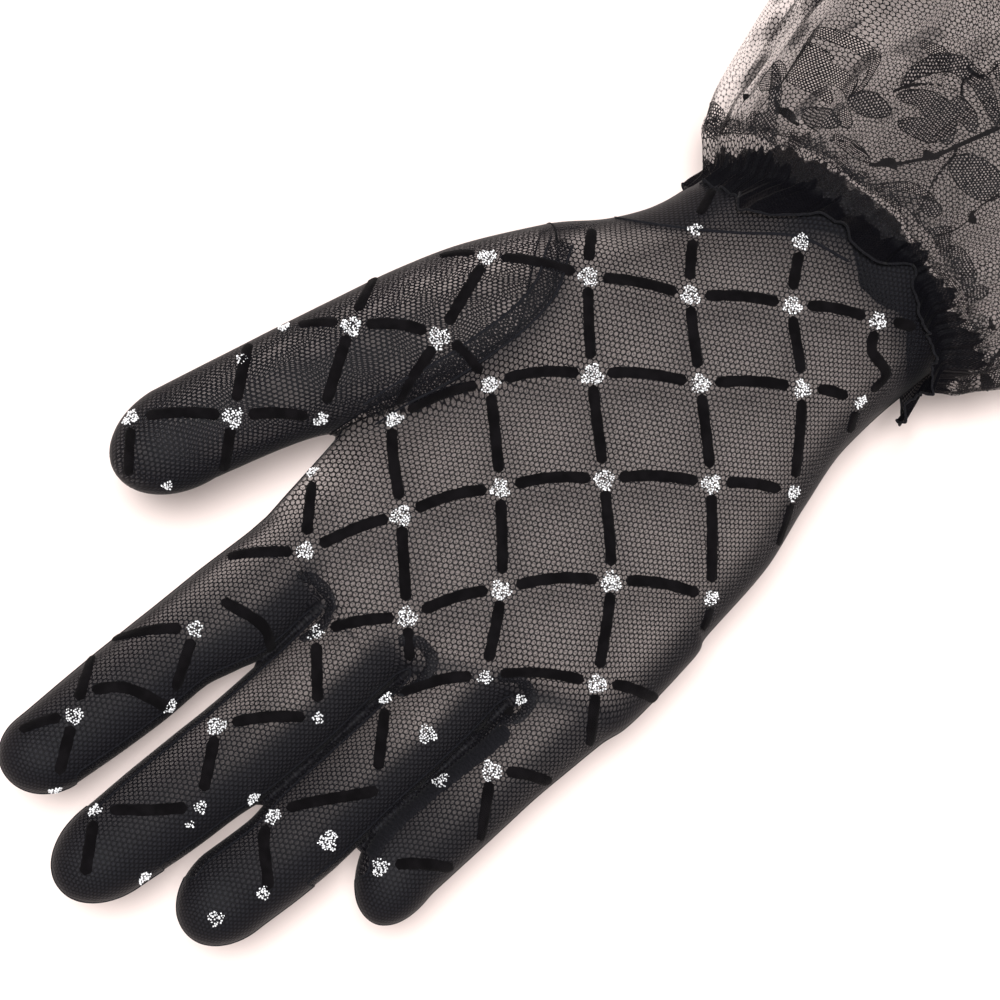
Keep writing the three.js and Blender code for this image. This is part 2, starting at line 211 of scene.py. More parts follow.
def palm_field(p):
    y = p[:, 1]
    half = (palm_right(y) - palm_left(y)) / 2
    rise = p[:, 2] - curl(y)
    depth = np.where(rise > 0, palm_up(y), palm_down(y))
    side = np.abs(p[:, 0] - (palm_right(y) + palm_left(y)) / 2) ** POWER
    size = (side + np.abs(rise * half / depth) ** POWER) ** (2 / POWER)
    return np.maximum(size - half**2, (y - PALM_ROWS[-1][0]) * 20)


class Finger:
    """A tapering tube along Y with a round tip."""

    def __init__(self, tip, shift, rows, share):
        self.tip, self.shift, self.share = tip, shift, share
        self.start, self.last = rows[0][0], rows[-1][0]
        self.mid_at, self.half_at = column(rows, 1), column(rows, 2)
        self.lift_at = column(rows, 3) if len(rows[0]) > 3 else np.zeros_like

    def mid(self, y):
        reach = np.clip((y - self.last) / (self.tip - self.last), 0, 1)
        return self.mid_at(y) + self.shift * reach

    def half_squared(self, y):
        reach = np.maximum(0, y - self.last) / (self.tip - self.last)
        return self.half_at(y) ** 2 * (1 - reach**2)

    def half(self, y):
        return np.sqrt(np.maximum(self.half_squared(y), 0.04))

    def level(self, y):
        return self.lift_at(y) + curl(y)

    def field(self, p):
        y = p[:, 1]
        side = np.abs(p[:, 0] - self.mid(y)) ** POWER
        rise = np.abs((p[:, 2] - self.level(y)) / self.share) ** POWER
        size = (side + rise) ** (2 / POWER)
        return np.maximum(size - self.half_squared(y), (self.start - y) * 20)


fingers = {name: Finger(*row, FINGER_DEPTH) for name, row in FINGERS.items()}
thumb = Finger(THUMB_TIP, THUMB_SHIFT, THUMB_ROWS, THUMB_DEPTH)


def distance(field, p):
    """The field in millimetres near its surface."""
    here = field(p)
    slopes = [(field(p + 0.2 * axis) - here) / 0.2 for axis in np.eye(3)]
    return here / np.maximum(np.sqrt(sum(s * s for s in slopes)), 1e-3)


def melt(a, b, width):
    blend = np.maximum(width - np.abs(a - b), 0) / width
    return np.minimum(a, b) - blend * blend * width / 4


def glove_field(p):
    palm = distance(palm_field, p)
    digits = np.min([distance(f.field, p) for f in fingers.values()], axis=0)
    return melt(melt(palm, digits, 3.0), distance(thumb.field, p), 5.0)


def slope_of(field, p):
    here = field(p)
    return here, np.stack([(field(p + 0.1 * axis) - here) / 0.1 for axis in np.eye(3)], 1)


# Meshes as arrays of points and faces


def surface_net(values, low, step):
    """Quads round the zero level of a grid of values, with one point in each cell that it crosses."""
    inside = values < 0
    cells = np.array(values.shape) - 1
    total, count = np.zeros((*cells, 3)), np.zeros(cells)
    rings = []
    for axis in range(3):
        first = tuple(slice(None, -1) if k == axis else slice(None) for k in range(3))
        second = tuple(slice(1, None) if k == axis else slice(None) for k in range(3))
        index = np.argwhere(inside[first] != inside[second])
        a, b = values[first][tuple(index.T)], values[second][tuple(index.T)]
        point = index.astype(float)
        point[:, axis] += a / (a - b)
        one, two = [k for k in range(3) if k != axis]
        around = np.repeat(index[:, None], 4, axis=1)
        around[:, :, one] += [-1, 0, 0, -1]
        around[:, :, two] += [-1, -1, 0, 0]
        whole = ((around >= 0) & (around < cells)).all(axis=(1, 2))
        around, point, a = around[whole], point[whole], a[whole]
        for k in range(4):
            np.add.at(total, tuple(around[:, k].T), point)
            np.add.at(count, tuple(around[:, k].T), 1)
        turned = (a > 0) != (axis == 1)
        around[turned] = around[turned][:, ::-1]
        rings.append(around.reshape(-1, 3))
    used = count > 0
    number = np.full(cells, -1)
    number[used] = np.arange(used.sum())
    points = low + step * total[used] / count[used][:, None]
    return points, np.concatenate([number[tuple(r.T)].reshape(-1, 4) for r in rings])


def halves(quads):
    """Two triangles for each quad."""
    return np.concatenate([quads[:, [0, 1, 2]], quads[:, [0, 2, 3]]])


def relax(points, quads, amount):
    edges = np.concatenate([quads[:, [k, (k + 1) % 4]] for k in range(4)])
    total, count = np.zeros_like(points), np.zeros(len(points))
    np.add.at(total, edges[:, 0], points[edges[:, 1]])
    np.add.at(count, edges[:, 0], 1)
    return points + amount * (total / np.maximum(count, 1)[:, None] - points)


def settle(points, field, rounds):
    for _ in range(rounds):
        value, slope = slope_of(field, points)
        move = slope * (value / np.maximum((slope**2).sum(1), 0.05))[:, None]
        size = np.linalg.norm(move, axis=1, keepdims=True)
        points = points - move * np.minimum(1, 1.0 / np.maximum(size, 1e-9))
    return points


def clip(points, faces, value):
    """The part of the triangles where value, given at the points, is above zero."""
    inside = value > 0
    count = inside[faces].sum(1)
    mixed = faces[(count == 1) | (count == 2)]
    pairs = np.sort(np.concatenate([mixed[:, [k, (k + 1) % 3]] for k in range(3)]), axis=1)
    pairs = np.unique(pairs[inside[pairs[:, 0]] != inside[pairs[:, 1]]], axis=0)
    share = value[pairs[:, 0]] / (value[pairs[:, 0]] - value[pairs[:, 1]])
    share = np.clip(share, 0.03, 0.97)[:, None]
    new = points[pairs[:, 0]] * (1 - share) + points[pairs[:, 1]] * share
    keys = pairs[:, 0] * len(points) + pairs[:, 1]

    def between(a, b):
        return len(points) + np.searchsorted(keys, np.minimum(a, b) * len(points) + np.maximum(a, b))

    parts = [faces[count == 3]]
    for wanted in (1, 2):
        group = faces[count == wanted]
        odd = inside[group] if wanted == 1 else ~inside[group]
        order = (odd.argmax(1)[:, None] + np.arange(3)) % 3
        a, b, c = np.take_along_axis(group, order, 1).T
        ab, ac = between(a, b), between(a, c)
        if wanted == 1:
            parts.append(np.stack([a, ab, ac], 1))
        else:
            parts += [np.stack([ab, b, c], 1), np.stack([ab, c, ac], 1)]
    everything = np.concatenate([points, new])
    faces = np.concatenate(parts)
    used, faces = np.unique(faces, return_inverse=True)
    return everything[used], faces.reshape(-1, 3)


def build(name, points, faces, material, uv=None, fields=None, sharp=False):
    """A mesh object from arrays in millimetres. uv is given at corners or points, fields at points."""
    mesh = bpy.data.meshes.new(name)
    mesh.from_pydata((np.asarray(points) * MM).tolist(), [], np.asarray(faces).tolist())
    mesh.polygons.foreach_set("use_smooth", [not sharp] * len(mesh.polygons))
    corners = np.asarray(faces).ravel()
    if uv is not None:
        layer = mesh.uv_layers.new(name="cloth")
        spread = uv if len(uv) == len(corners) else uv[corners]
        layer.data.foreach_set("uv", np.asarray(spread, np.float32).ravel())
    for key, values in (fields or {}).items():
        layer = mesh.attributes.new(key, "FLOAT", "POINT")
        layer.data.foreach_set("value", np.asarray(values, np.float32))
    mesh.materials.append(material)
    mesh.update()
    piece = bpy.data.objects.new(name, mesh)
    bpy.context.collection.objects.link(piece)
    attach(piece, "root")
    return piece


def joined(parts):
    """Many small meshes as one pair of arrays."""
    points, faces, start = [], [], 0
    for p, f in parts:
        points.append(p)
        faces.append(np.asarray(f) + start)
        start += len(p)
    return np.concatenate(points), np.concatenate(faces)


def tree_of(points, faces):
    return BVHTree.FromPolygons(points.tolist(), faces.tolist())


# Materials


class Nodes:
    """Short calls for a material's nodes."""

    def __init__(self, name):
        self.material = bpy.data.materials.new(name)
        self.material.use_nodes = True
        self.tree = self.material.node_tree
        self.shader = self.tree.nodes["Principled BSDF"]

    def add(self, kind, **settings):
        node = self.tree.nodes.new(kind)
        for key, value in settings.items():
            setattr(node, key, value)
        return node

    def feed(self, node, values):
        for socket, value in values.items():
            if hasattr(value, "is_output"):
                self.tree.links.new(value, node.inputs[socket])
            else:
                node.inputs[socket].default_value = value

    def math(self, operation, a, b):
        node = self.add("ShaderNodeMath", operation=operation)
        self.feed(node, {0: a, 1: b})
        return node.outputs[0]

    def vector(self, operation, a, b=(0, 0, 0)):
        node = self.add("ShaderNodeVectorMath", operation=operation)
        self.feed(node, {0: a, 1: b})
        return node.outputs["Value" if operation == "LENGTH" else "Vector"]

    def turned(self, a, degrees):
        node = self.add("ShaderNodeVectorRotate", rotation_type="Z_AXIS")
        self.feed(node, {"Vector": a, "Angle": math.radians(degrees)})
        return node.outputs["Vector"]

    def range(self, value, low, high):
        node = self.add("ShaderNodeMapRange", interpolation_type="SMOOTHSTEP")
        self.feed(node, {"Value": value, "From Min": low, "From Max": high})
        return node.outputs["Result"]

    def noise(self, where, scale, detail=2.0):
        node = self.add("ShaderNodeTexNoise")
        self.feed(node, {"Vector": where, "Scale": scale, "Detail": detail})
        return node.outputs["Fac"]

    def mix(self, share, a, b):
        node = self.add("ShaderNodeMix", data_type="RGBA")
        self.feed(node, {0: share, 6: a, 7: b})
        return node.outputs[2]

    def uv(self):
        return self.add("ShaderNodeUVMap", uv_map="cloth").outputs["UV"]

    def field(self, name):
        return self.add("ShaderNodeAttribute", attribute_name=name).outputs["Fac"]

    def place(self):
        return self.add("ShaderNodeTexCoord").outputs["Object"]

    def bump(self, height, strength, distance):
        node = self.add("ShaderNodeBump")
        self.feed(node, {"Height": height, "Strength": strength, "Distance": distance})
        return node.outputs["Normal"]

    def finish(self, **values):
        names = {"base": "Base Color", "roughness": "Roughness", "alpha": "Alpha", "normal": "Normal",
                 "metallic": "Metallic", "sheen": "Sheen Weight", "sheen_roughness": "Sheen Roughness",
                 "specular": "Specular IOR Level"}
        self.feed(self.shader, {names[key]: value for key, value in values.items()})
        return self.material


def hole_distance(n, where, cell):
    """Distance to the nearest hole's middle in a net whose holes sit at the corners and middles of cells."""
    size = (cell[0], cell[1], 1.0)
    found = []
    for shift in (0.0, 0.5):
        share = n.vector("ADD", n.vector("DIVIDE", where, size), (shift, shift, 0.0))
        local = n.vector("SUBTRACT", n.vector("FRACTION", share), (0.5, 0.5, 0.0))
        scaled = n.vector("MULTIPLY", local, (cell[0], cell[1] * cell[2], 0.0))
        found.append(n.vector("LENGTH", scaled))
    return n.math("MINIMUM", *found)


def net_material(name, cell, degrees, thread, deep, veil_and_shade_film, edge=0.07, cover=1.0, gloss=0.1):
    """Knitted net. The field hole is its holes' radius, and the field veil closes them with dark filling:
    denser cloth in places, and painted shade where the net is darkened.
    """
    n = Nodes(name)
    where = n.turned(n.uv(), degrees)
    wobble = n.noise(n.vector("MULTIPLY", n.uv(), (0.35, 0.35, 0.0)), 1.0)
    away = hole_distance(n, where, cell)
    hole = n.math("ADD", n.field("hole"), n.math("MULTIPLY", n.math("SUBTRACT", wobble, 0.5), 0.06))
    solid = n.range(away, n.math("SUBTRACT", hole, edge), n.math("ADD", hole, edge))
    tone = n.range(n.noise(n.vector("MULTIPLY", n.uv(), (2.2, 2.2, 0.0)), 1.0, 3.0), 0.35, 0.65)
    colour = n.mix(solid, veil_and_shade_film, n.mix(tone, deep, thread))
    alpha = n.math("MAXIMUM", n.math("MULTIPLY", solid, cover), n.field("veil"))
    normal = n.bump(n.range(away, 0.0, 0.6), 0.6, 0.00012)
    return n.finish(base=colour, roughness=0.6, alpha=alpha, specular=gloss, sheen=0.2 * gloss,
                    sheen_roughness=0.4, normal=normal)


def flock_material():
    n = Nodes("black_flock")
    place = n.place()
    fibre = n.noise(place, 5200.0, 3.0)
    patch = n.noise(place, 320.0)
    base = n.mix(n.range(patch, 0.35, 0.7), (0.0022, 0.0018, 0.0022, 1), (0.0045, 0.0038, 0.0045, 1))
    return n.finish(base=base, roughness=0.9, specular=0.05, sheen=0.015, sheen_roughness=0.5,
                    normal=n.bump(fibre, 0.7, 0.0002))


def glitter_material():
    n = Nodes("silver_glitter")
    sparkle = n.noise(n.place(), 2600.0, 1.0)
    base = n.mix(n.range(sparkle, 0.35, 0.65), (0.86, 0.86, 0.88, 1), (0.97, 0.97, 0.98, 1))
    return n.finish(base=base, metallic=0.25, roughness=0.35, specular=0.6,
                    normal=n.bump(sparkle, 0.3, 0.0001))


def thread_material(name, deep, light, pitch):
    """Twisted thread or rolled cloth, with fine turns across its length."""
    n = Nodes(name)
    grain = n.noise(n.place(), 4200.0, 3.0)
    wave = n.add("ShaderNodeTexWave", wave_type="BANDS", bands_direction="DIAGONAL")
    n.feed(wave, {"Vector": n.place(), "Scale": 1.0 / pitch / 20, "Distortion": 2.0})
    normal = n.bump(n.math("ADD", grain, wave.outputs["Fac"]), 0.5, 0.00015)
    return n.finish(base=n.mix(n.range(grain, 0.3, 0.7), deep, light), roughness=0.8, specular=0.08,
                    sheen=0.03, sheen_roughness=0.45, normal=normal)


# Net cells: width, height, and how much the height is squeezed so that holes come out long
HAND_CELL = (1.64, 1.12, 0.845)
BACK_CELL = (1.62, 1.06, 0.90)
SIDE_CELL = (1.30, 0.86, 0.87)
BAND_CELL = (1.16, 0.72, 0.9)
FRILL_CELL = (0.95, 0.62, 0.88)
LACE_CELL = (2.02, 1.18, 0.98)
GRID_CELL = (1.05, 0.62, 0.98)

BLACK, SOFT_BLACK = (0.0050, 0.0045, 0.0060, 1), (0.0022, 0.0020, 0.0030, 1)
# Colours that fill veiled holes: painted shade on the hand's and the cuff's net, and denser cloth in the
# bands
VEIL_AND_SHADE_FILM, LACE_VEIL_AND_SHADE_FILM = (0.0086, 0.0086, 0.0114, 1), (0.020, 0.017, 0.017, 1)
palm_net = net_material("palm_net", HAND_CELL, -8.0, BLACK, SOFT_BLACK, VEIL_AND_SHADE_FILM)
back_net = net_material("back_net", BACK_CELL, 24.0, BLACK, SOFT_BLACK, VEIL_AND_SHADE_FILM, cover=0.72)
band_net = net_material("band_net", BAND_CELL, 0.0, BLACK, SOFT_BLACK, VEIL_AND_SHADE_FILM)
side_net = net_material("side_net", SIDE_CELL, 52.0, BLACK, SOFT_BLACK, VEIL_AND_SHADE_FILM)
frill_net = net_material("frill_net", FRILL_CELL, 3.0, SOFT_BLACK, SOFT_BLACK, SOFT_BLACK, edge=0.05,
                         gloss=0.04)
lace_net = net_material("lace_net", LACE_CELL, 0.0, BLACK, SOFT_BLACK, LACE_VEIL_AND_SHADE_FILM, edge=0.05)
lace_grid = net_material("lace_grid", GRID_CELL, 20.0, BLACK, SOFT_BLACK, LACE_VEIL_AND_SHADE_FILM, edge=0.05)
flock = flock_material()
glitter = glitter_material()
seam_thread = thread_material("seam_thread", (0.004, 0.004, 0.0055, 1), (0.010, 0.010, 0.013, 1), 0.0004)
hem_thread = thread_material("hem_thread", (0.003, 0.003, 0.004, 1), (0.010, 0.0095, 0.012, 1), 0.0005)
lace_thread = thread_material("lace_thread", (0.0045, 0.004, 0.0045, 1), (0.011, 0.0095, 0.010, 1), 0.0004)


def net_fields(light, cell, most):
    """Holes' radius and veil for painted light from 0 to 1, in a net that is open by most of its area at 1.
    Less light gives smaller holes with dark filling: painted shade.
    """
    light = np.clip(light, 0, 1)
    pitch = math.hypot(cell[0], cell[1] * cell[2]) / 2
    share = most * (0.55 + 0.45 * light)
    return {"hole": 0.5 * pitch * np.sqrt(share / 0.907), "veil": 0.97 * (1 - light)}


# Hand: one surface, cut along its seams

GRID_STEP = 1.1
low = np.array([-46.0, -36.0, -21.0])
shape = np.ceil((np.array([64.0, 183.0, 21.5]) - low) / GRID_STEP).astype(int)
axes = [low[k] + GRID_STEP * np.arange(shape[k]) for k in range(3)]
grid = np.stack(np.meshgrid(*axes, indexing="ij"), -1).reshape(-1, 3)
hand_points, hand_quads = surface_net(glove_field(grid).reshape(shape), low, GRID_STEP)
for _ in range(3):
    hand_points = settle(relax(hand_points, hand_quads, 0.5), glove_field, 1)
hand_points = settle(hand_points, glove_field, 2)
hand_faces = halves(hand_quads)
hand_tree = tree_of(hand_points, hand_faces)


def squared_off(v):
    return np.sign(v) * np.abs(v) ** (POWER / 2)


def wrist_turn(p):
    """Angle round the wrist, from the thumb's side over the palm's side."""
    side = (p[:, 0] - WRIST_MID) / WRIST_HALF
    rise = p[:, 2] / np.where(p[:, 2] > 0, WRIST_UP, WRIST_DOWN)
    return np.arctan2(squared_off(rise), squared_off(side))


def wrist_value(p):
    return p[:, 1] - gather_y(wrist_turn(p)) + WRIST_HEM


def thumb_value(p):
    return p[:, 0] - seam_x(p[:, 1])


def fourchette_value(first, second, p):
    y = p[:, 1]
    base = FINGERS[second][2][2][0] - 8
    right, left = fingers[first].mid(y), fingers[second].mid(y)
    share = np.clip((p[:, 0] - left) / (right - left), 0, 1)
    stop = fingers[second].tip + share * (fingers[first].tip - fingers[second].tip) - FOURCHETTE_STOP
    deep = FOURCHETTE_HALF - np.abs(p[:, 2] - curl(y))
    return np.min([right - p[:, 0], p[:, 0] - left, deep, y - base, stop - y], axis=0)


PAIRS = [("index", "middle"), ("middle", "ring"), ("ring", "little")]


def outline_right(y):
    beyond = thumb.mid(y) + np.where((y > 10) & (y < THUMB_TIP), thumb.half(y), -99)
    return np.maximum(palm_right(y), beyond)


def nearest_finger(p):
    x, y = p[:, 0], p[:, 1]
    gaps = [np.abs(x - f.mid(y)) / f.half(y) + 2 * (y > f.tip + 1) for f in fingers.values()]
    return np.stack(gaps).argmin(0)


def finger_share(p):
    """0 on the palm, 1 on the fingers."""
    digits = np.min([distance(f.field, p) for f in fingers.values()], axis=0)
    return ramp(distance(palm_field, p) - digits, 0.0, 3.0)


# Painted light that the net lets through along a finger, darker towards the tip: distance from the tip, share
FINGER_LIGHT = [(0, 0.0), (7, 0.01), (14, 0.08), (24, 0.22), (33, 0.36), (45, 0.62), (58, 0.95), (75, 1.0),
                (90, 1.0)]
finger_light = column(FINGER_LIGHT)
# Share of that light on each finger, and on the dark half of it
FINGER_SHARE = {"index": (0.74, 0.05), "middle": (0.98, 0.05), "ring": (1.0, 0.05), "little": (0.80, 0.32)}
# The little finger is short, so the light comes in nearer to its tip
FINGER_STRETCH = {"little": 1.7}
WRIST_CREASE = [(580, 212), (596, 215), (640, 222), (690, 229), (740, 233), (800, 237), (850, 262)]


# A distance from the camera that lies past the glove
BEYOND = 1200


def seen(pixels, side):
    """Places on the hand's surface behind pixels, on the palm's side or on the back."""
    found = []
    for pixel in pixels:
        ray, start = Vector(pixel_ray(*pixel)), Vector(EYE)
        if side == "back":
            start, ray = start + BEYOND * ray, -ray
        hit = hand_tree.ray_cast(start, ray)[0]
        if hit is not None:
            found.append(hit)
    return np.array([list(place) for place in found]).reshape(-1, 3)


crease = seen(WRIST_CREASE, "palm")
crease = crease[np.argsort(crease[:, 0])]


# Painted light on the palm's net: painted shade towards the outline's sides, by the thumb seam, from the
# wrist crease to the frill and in the frill's shadow, lighter in one window
def palm_light(p):
    x, y = p[:, 0], p[:, 1]
    past = y - np.interp(x, crease[:, 0], crease[:, 1])
    lit = ramp(x, 9, 13) * ramp(-x, -24, -19)
    width = 0.9 + 2.4 * ramp(x, 17, 24)
    crease_shade = (0.96 - 0.42 * lit) * ramp(-past, -width, 0.4) * ramp(x, 3, 9) * (p[:, 2] > 0)
    # Painted shade at the sides, by the thumb seam and in the shadow under the frill
    side = ramp(x - palm_left(y), 0.3, 8) * ramp(outline_right(y) - x, 0.3, 8)
    thumb_seam_shading = 1 - 0.55 * ramp(x - seam_x(y), -6, 0) * ramp(y, 20, 34) * ramp(-y, -92, -70)
    clear_of_frill_shadow = ramp(y - gather_y(wrist_turn(p)), 3, 13)
    return 0.9 * side * thumb_seam_shading * (1 - crease_shade) * (0.10 + 0.90 * clear_of_frill_shadow)


def openness(p):
    """How far the palm's and the back's net is open, as painted light: from 0 in painted shade at the sides
    and tips to 1.
    """
    x, y = p[:, 0], p[:, 1]
    level = palm_light(p)
    share = finger_share(p)
    which = nearest_finger(p)
    for k, (name, f) in enumerate(fingers.items()):
        t = (x - f.mid(y)) / f.half(y)
        most, least = FINGER_SHARE[name]
        across = (least + (1 - least) * ramp(t, -0.42, 0.02)) * ramp(-t, -1.0, -0.72) * ramp(t, -1.0, -0.8)
        along = finger_light(FINGER_STRETCH.get(name, 1.0) * (f.tip - y))
        level = np.where(which == k, (1 - share) * level + share * most * across * along, level)
    return level


# Painted light on the thumb's net: painted shade towards its tip and at its sides, which near the palm take
# part of the palm's painted light
def thumb_openness(p):
    x, y = p[:, 0], p[:, 1]
    t = (x - thumb.mid(y)) / thumb.half(y)
    across = ramp(t, -1.0, -0.5) * ramp(-t, -1.0, -0.5)
    along = 0.06 + 0.26 * ramp(thumb.tip - y, 6, 28) + 0.37 * ramp(thumb.tip - y, 44, 74)
    return along * (across + (1 - across) * 0.6 * ramp(40 - y, 0, 20) * palm_light(p))


def cloth_uv(points, faces, on_thumb=False):
    """Place on the flat cloth at each corner, in millimetres."""
    corner = points[faces.ravel()]
    middle = np.repeat(points[faces].mean(1), 3, axis=0)
    x, y, z = corner.T
    drop = np.maximum(0, np.where(z > 0, palm_up(y), palm_down(y)) - np.abs(z - curl(y))) * ramp(-y, -88, -72)
    mid = (palm_left(y) + palm_right(y)) / 2
    u = x + 0.8 * drop * ramp(np.abs(x - mid), 0, 12) * np.sign(middle[:, 0] - mid)
    v = y.copy()
    if on_thumb:
        drop = np.maximum(0, thumb.half(y) * THUMB_DEPTH - np.abs(z - thumb.level(y)))
        t = x - thumb.mid(y)
        u = t + 0.8 * drop * ramp(np.abs(t), 0, 3) * np.sign(middle[:, 0] - thumb.mid(middle[:, 1]))
        return np.stack([u, v * 1.05], 1)
    share, which = finger_share(corner), nearest_finger(middle)
    for k, f in enumerate(fingers.values()):
        drop = np.maximum(0, f.half(y) * FINGER_DEPTH - np.abs(z - f.level(y)))
        t = x - f.mid(y)
        own = x + 0.8 * drop * ramp(np.abs(t), 0, 3) * np.sign(middle[:, 0] - f.mid(middle[:, 1]))
        u = np.where(which == k, (1 - share) * u + share * own, u)
        v = np.where(which == k, y + 0.7 * (f.half_at(y) - f.half(y)), v)
    return np.stack([u, v], 1)


# Share of the net that is open where the painted light is fullest, on the palm, the back and the side strips
PALM_OPEN, BACK_OPEN, SIDE_OPEN = 0.60, 0.80, 0.40
# Painted light on the back panel and on the side strips between the fingers, which sit in painted shade
BACK_LIGHT, SIDE_LIGHT = 0.56, 0.12


def add_panel(node, points, faces, material, fields, uv=None):
    uv = cloth_uv(points, faces) if uv is None else uv
    piece = build("knit_" + node, points, faces, material, uv, fields)
    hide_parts(node)
    return piece


above = clip(hand_points, hand_faces, wrist_value(hand_points))
points, faces = clip(*above, thumb_value(above[0]))
thumb_mesh = points, faces
# Painted light on the thumb: its top takes the thumb's painted light, its underside more light
on_top = points[:, 2] > thumb.level(points[:, 1])
light = np.where(on_top, thumb_openness(points), 0.55 + 0.3 * thumb_openness(points))
thumb_piece = add_panel("thumb", points, faces, palm_net, net_fields(light, HAND_CELL, PALM_OPEN),
                        cloth_uv(points, faces, True))

points, faces = clip(*above, -thumb_value(above[0]))
# Strips on both sides of each gap between fingers, laid flat by their y and z in millimetres
for first, second in PAIRS:
    within = fourchette_value(first, second, points)
    strip = clip(points, faces, within)
    # The side strips get an even, low painted light: painted shade
    net = net_fields(np.full(len(strip[0]), SIDE_LIGHT), SIDE_CELL, SIDE_OPEN)
    flat = strip[0][strip[1].ravel()][:, 1:]
    piece = add_panel(f"fourchette_{first}_{second}", *strip, side_net, net, flat)
    points, faces = clip(points, faces, -within)
side = points[:, 2] - curl(points[:, 1])
front = clip(points, faces, side)
rear = clip(points, faces, -side)
# Painted shade towards the palm panel's side edges, where the hand turns away
edge = ramp(front[0][:, 2] - curl(front[0][:, 1]), 0.3, 4.0)
palm_piece = add_panel("palm_panel", *front, palm_net,
                       net_fields(openness(front[0]) * (0.2 + 0.8 * edge), HAND_CELL, PALM_OPEN))
# Painted shade towards the back panel's side edges; the back takes less painted light than the palm
edge = ramp(curl(rear[0][:, 1]) - rear[0][:, 2], 0.3, 4.0)
back_light = BACK_LIGHT * (0.35 + 0.65 * openness(rear[0]) ** 0.5) * (0.3 + 0.7 * edge)
back_piece = add_panel("back_panel", *rear, back_net, net_fields(back_light, BACK_CELL, BACK_OPEN))

# Strips that lie on the hand's cloth, drawn along paths through the photograph's pixels


def curve(corners, step):
    """Evenly spaced points on a smooth line through corners."""
    corners = np.array(corners, float)
    before = np.concatenate([2 * corners[:1] - corners[1:2], corners, 2 * corners[-1:] - corners[-2:-1]])
    line = []
    for a, b, c, d in zip(before, before[1:], before[2:], before[3:]):
        count = max(2, int(np.linalg.norm(c - b) / step))
        for t in np.arange(count) / count:
            line.append(b + 0.5 * t * (c - a + t * (2 * a - 5 * b + 4 * c - d + t * (3 * (b - c) + d - a))))
    return np.array(line + [corners[-1]])


def even(line, step):
    """The same line with points at equal steps, and the distance run at each."""
    run = distance_run(line)
    places = np.linspace(0, run[-1], max(3, int(run[-1] / step) + 1))
    return np.stack([np.interp(places, run, line[:, k]) for k in range(line.shape[1])], 1), places


def strip_faces(rows, columns):
    i, j = np.meshgrid(np.arange(rows - 1), np.arange(columns - 1), indexing="ij")
    a = (i * columns + j).ravel()
    b, c, d = a + 1, a + columns + 1, a + columns
    return halves(np.stack([a, b, c, d], 1))


def ribbon(line, width, height, across=7, ribs=None, step=0.5):
    """A raised strip on the hand's surface. ribs gives the pitch and depth of ribs across it."""
    line, run = even(line, step)
    normal = unit(slope_of(glove_field, line)[1])
    ahead = unit(np.gradient(line, axis=0))
    sideways = unit(np.cross(normal, ahead))
    half = width / 2 * (1 + 0.05 * np.sin(2.3 * run + line[:, 0]) + 0.04 * np.sin(5.1 * run))
    to_end = np.minimum(run, run[-1] - run)
    half = half * np.sqrt(np.clip(1 - (1 - np.minimum(to_end / (width * 0.4), 1)) ** 2, 0.02, 1))
    share = np.linspace(-1, 1, across)
    points = line[:, None] + sideways[:, None] * half[:, None, None] * share[:, None]
    points = settle(points.reshape(-1, 3), glove_field, 2)
    normal = unit(slope_of(glove_field, points)[1])
    rise = 0.06 + height * np.sqrt(np.maximum(0, 1 - np.abs(np.tile(share, len(run))) ** 4))
    if ribs:
        rise = rise + ribs[1] * np.repeat(np.sin(2 * math.pi * run / ribs[0]), across)
    uv = np.stack([np.repeat(run, across), (half[:, None] * share).ravel()], 1)
    return points + normal * rise[:, None], strip_faces(len(run), across), uv


def drawn(corners, side, width, height, **settings):
    line = seen(curve(corners, 2.5), side)
    return ribbon(line, width, height, **settings) if len(line) > 3 else None


def add_strips(name, parts, material, with_uv=False, fields=None):
    parts = [part for part in parts if part is not None]
    points, faces = joined([part[:2] for part in parts])
    uv = np.concatenate([part[2] for part in parts]) if with_uv else None
    spread = {key: np.full(len(points), value) for key, value in (fields or {}).items()}
    piece = build(name, points, faces, material, uv, spread)
    return piece


# Glitter dots: pixel across, pixel down, radius in millimetres
DOTS = [
    (593, 220, 1.7), (695, 230, 1.5), (801, 242, 1.8), (487, 257, 2.0), (588, 277, 2.0), (690, 296, 2.0),
    (792, 306, 1.9), (878, 321, 1.8), (490, 384, 2.0), (592, 375, 2.2), (700, 384, 2.0), (802, 389, 1.9),
    (860, 402, 1.5), (394, 418, 1.9), (305, 551, 1.8), (401, 516, 2.1), (500, 489, 2.0), (604, 480, 2.1),
    (711, 484, 2.0), (793, 493, 1.7), (316, 633, 1.7), (407, 617, 2.0), (501, 590, 2.0), (611, 582, 2.1),
    (711, 598, 1.7), (386, 699, 1.5), (485, 677, 1.5), (597, 684, 2.0), (439, 338, 2.2), (351, 326, 2.1),
    (284, 328, 1.4), (242, 360, 1.2), (131, 418, 1.9), (233, 417, 2.1), (321, 419, 1.6), (167, 485, 1.2),
    (313, 472, 1.4), (213, 560, 1.4), (195, 629, 1.6), (170, 706, 1.6), (74, 716, 1.8), (55, 790, 1.4),
    (318, 718, 1.2), (217, 726, 2.0), (200, 807, 1.3), (190, 824, 0.9), (95, 811, 1.5), (144, 877, 1.5),
    (253, 798, 1.5), (427, 734, 1.9), (273, 817, 1.8), (328, 841, 2.1), (263, 893, 1.4), (216, 918, 1.5),
    (521, 700, 1.3), (491, 771, 2.1), (441, 781, 1.8), (380, 867, 1.8),
]
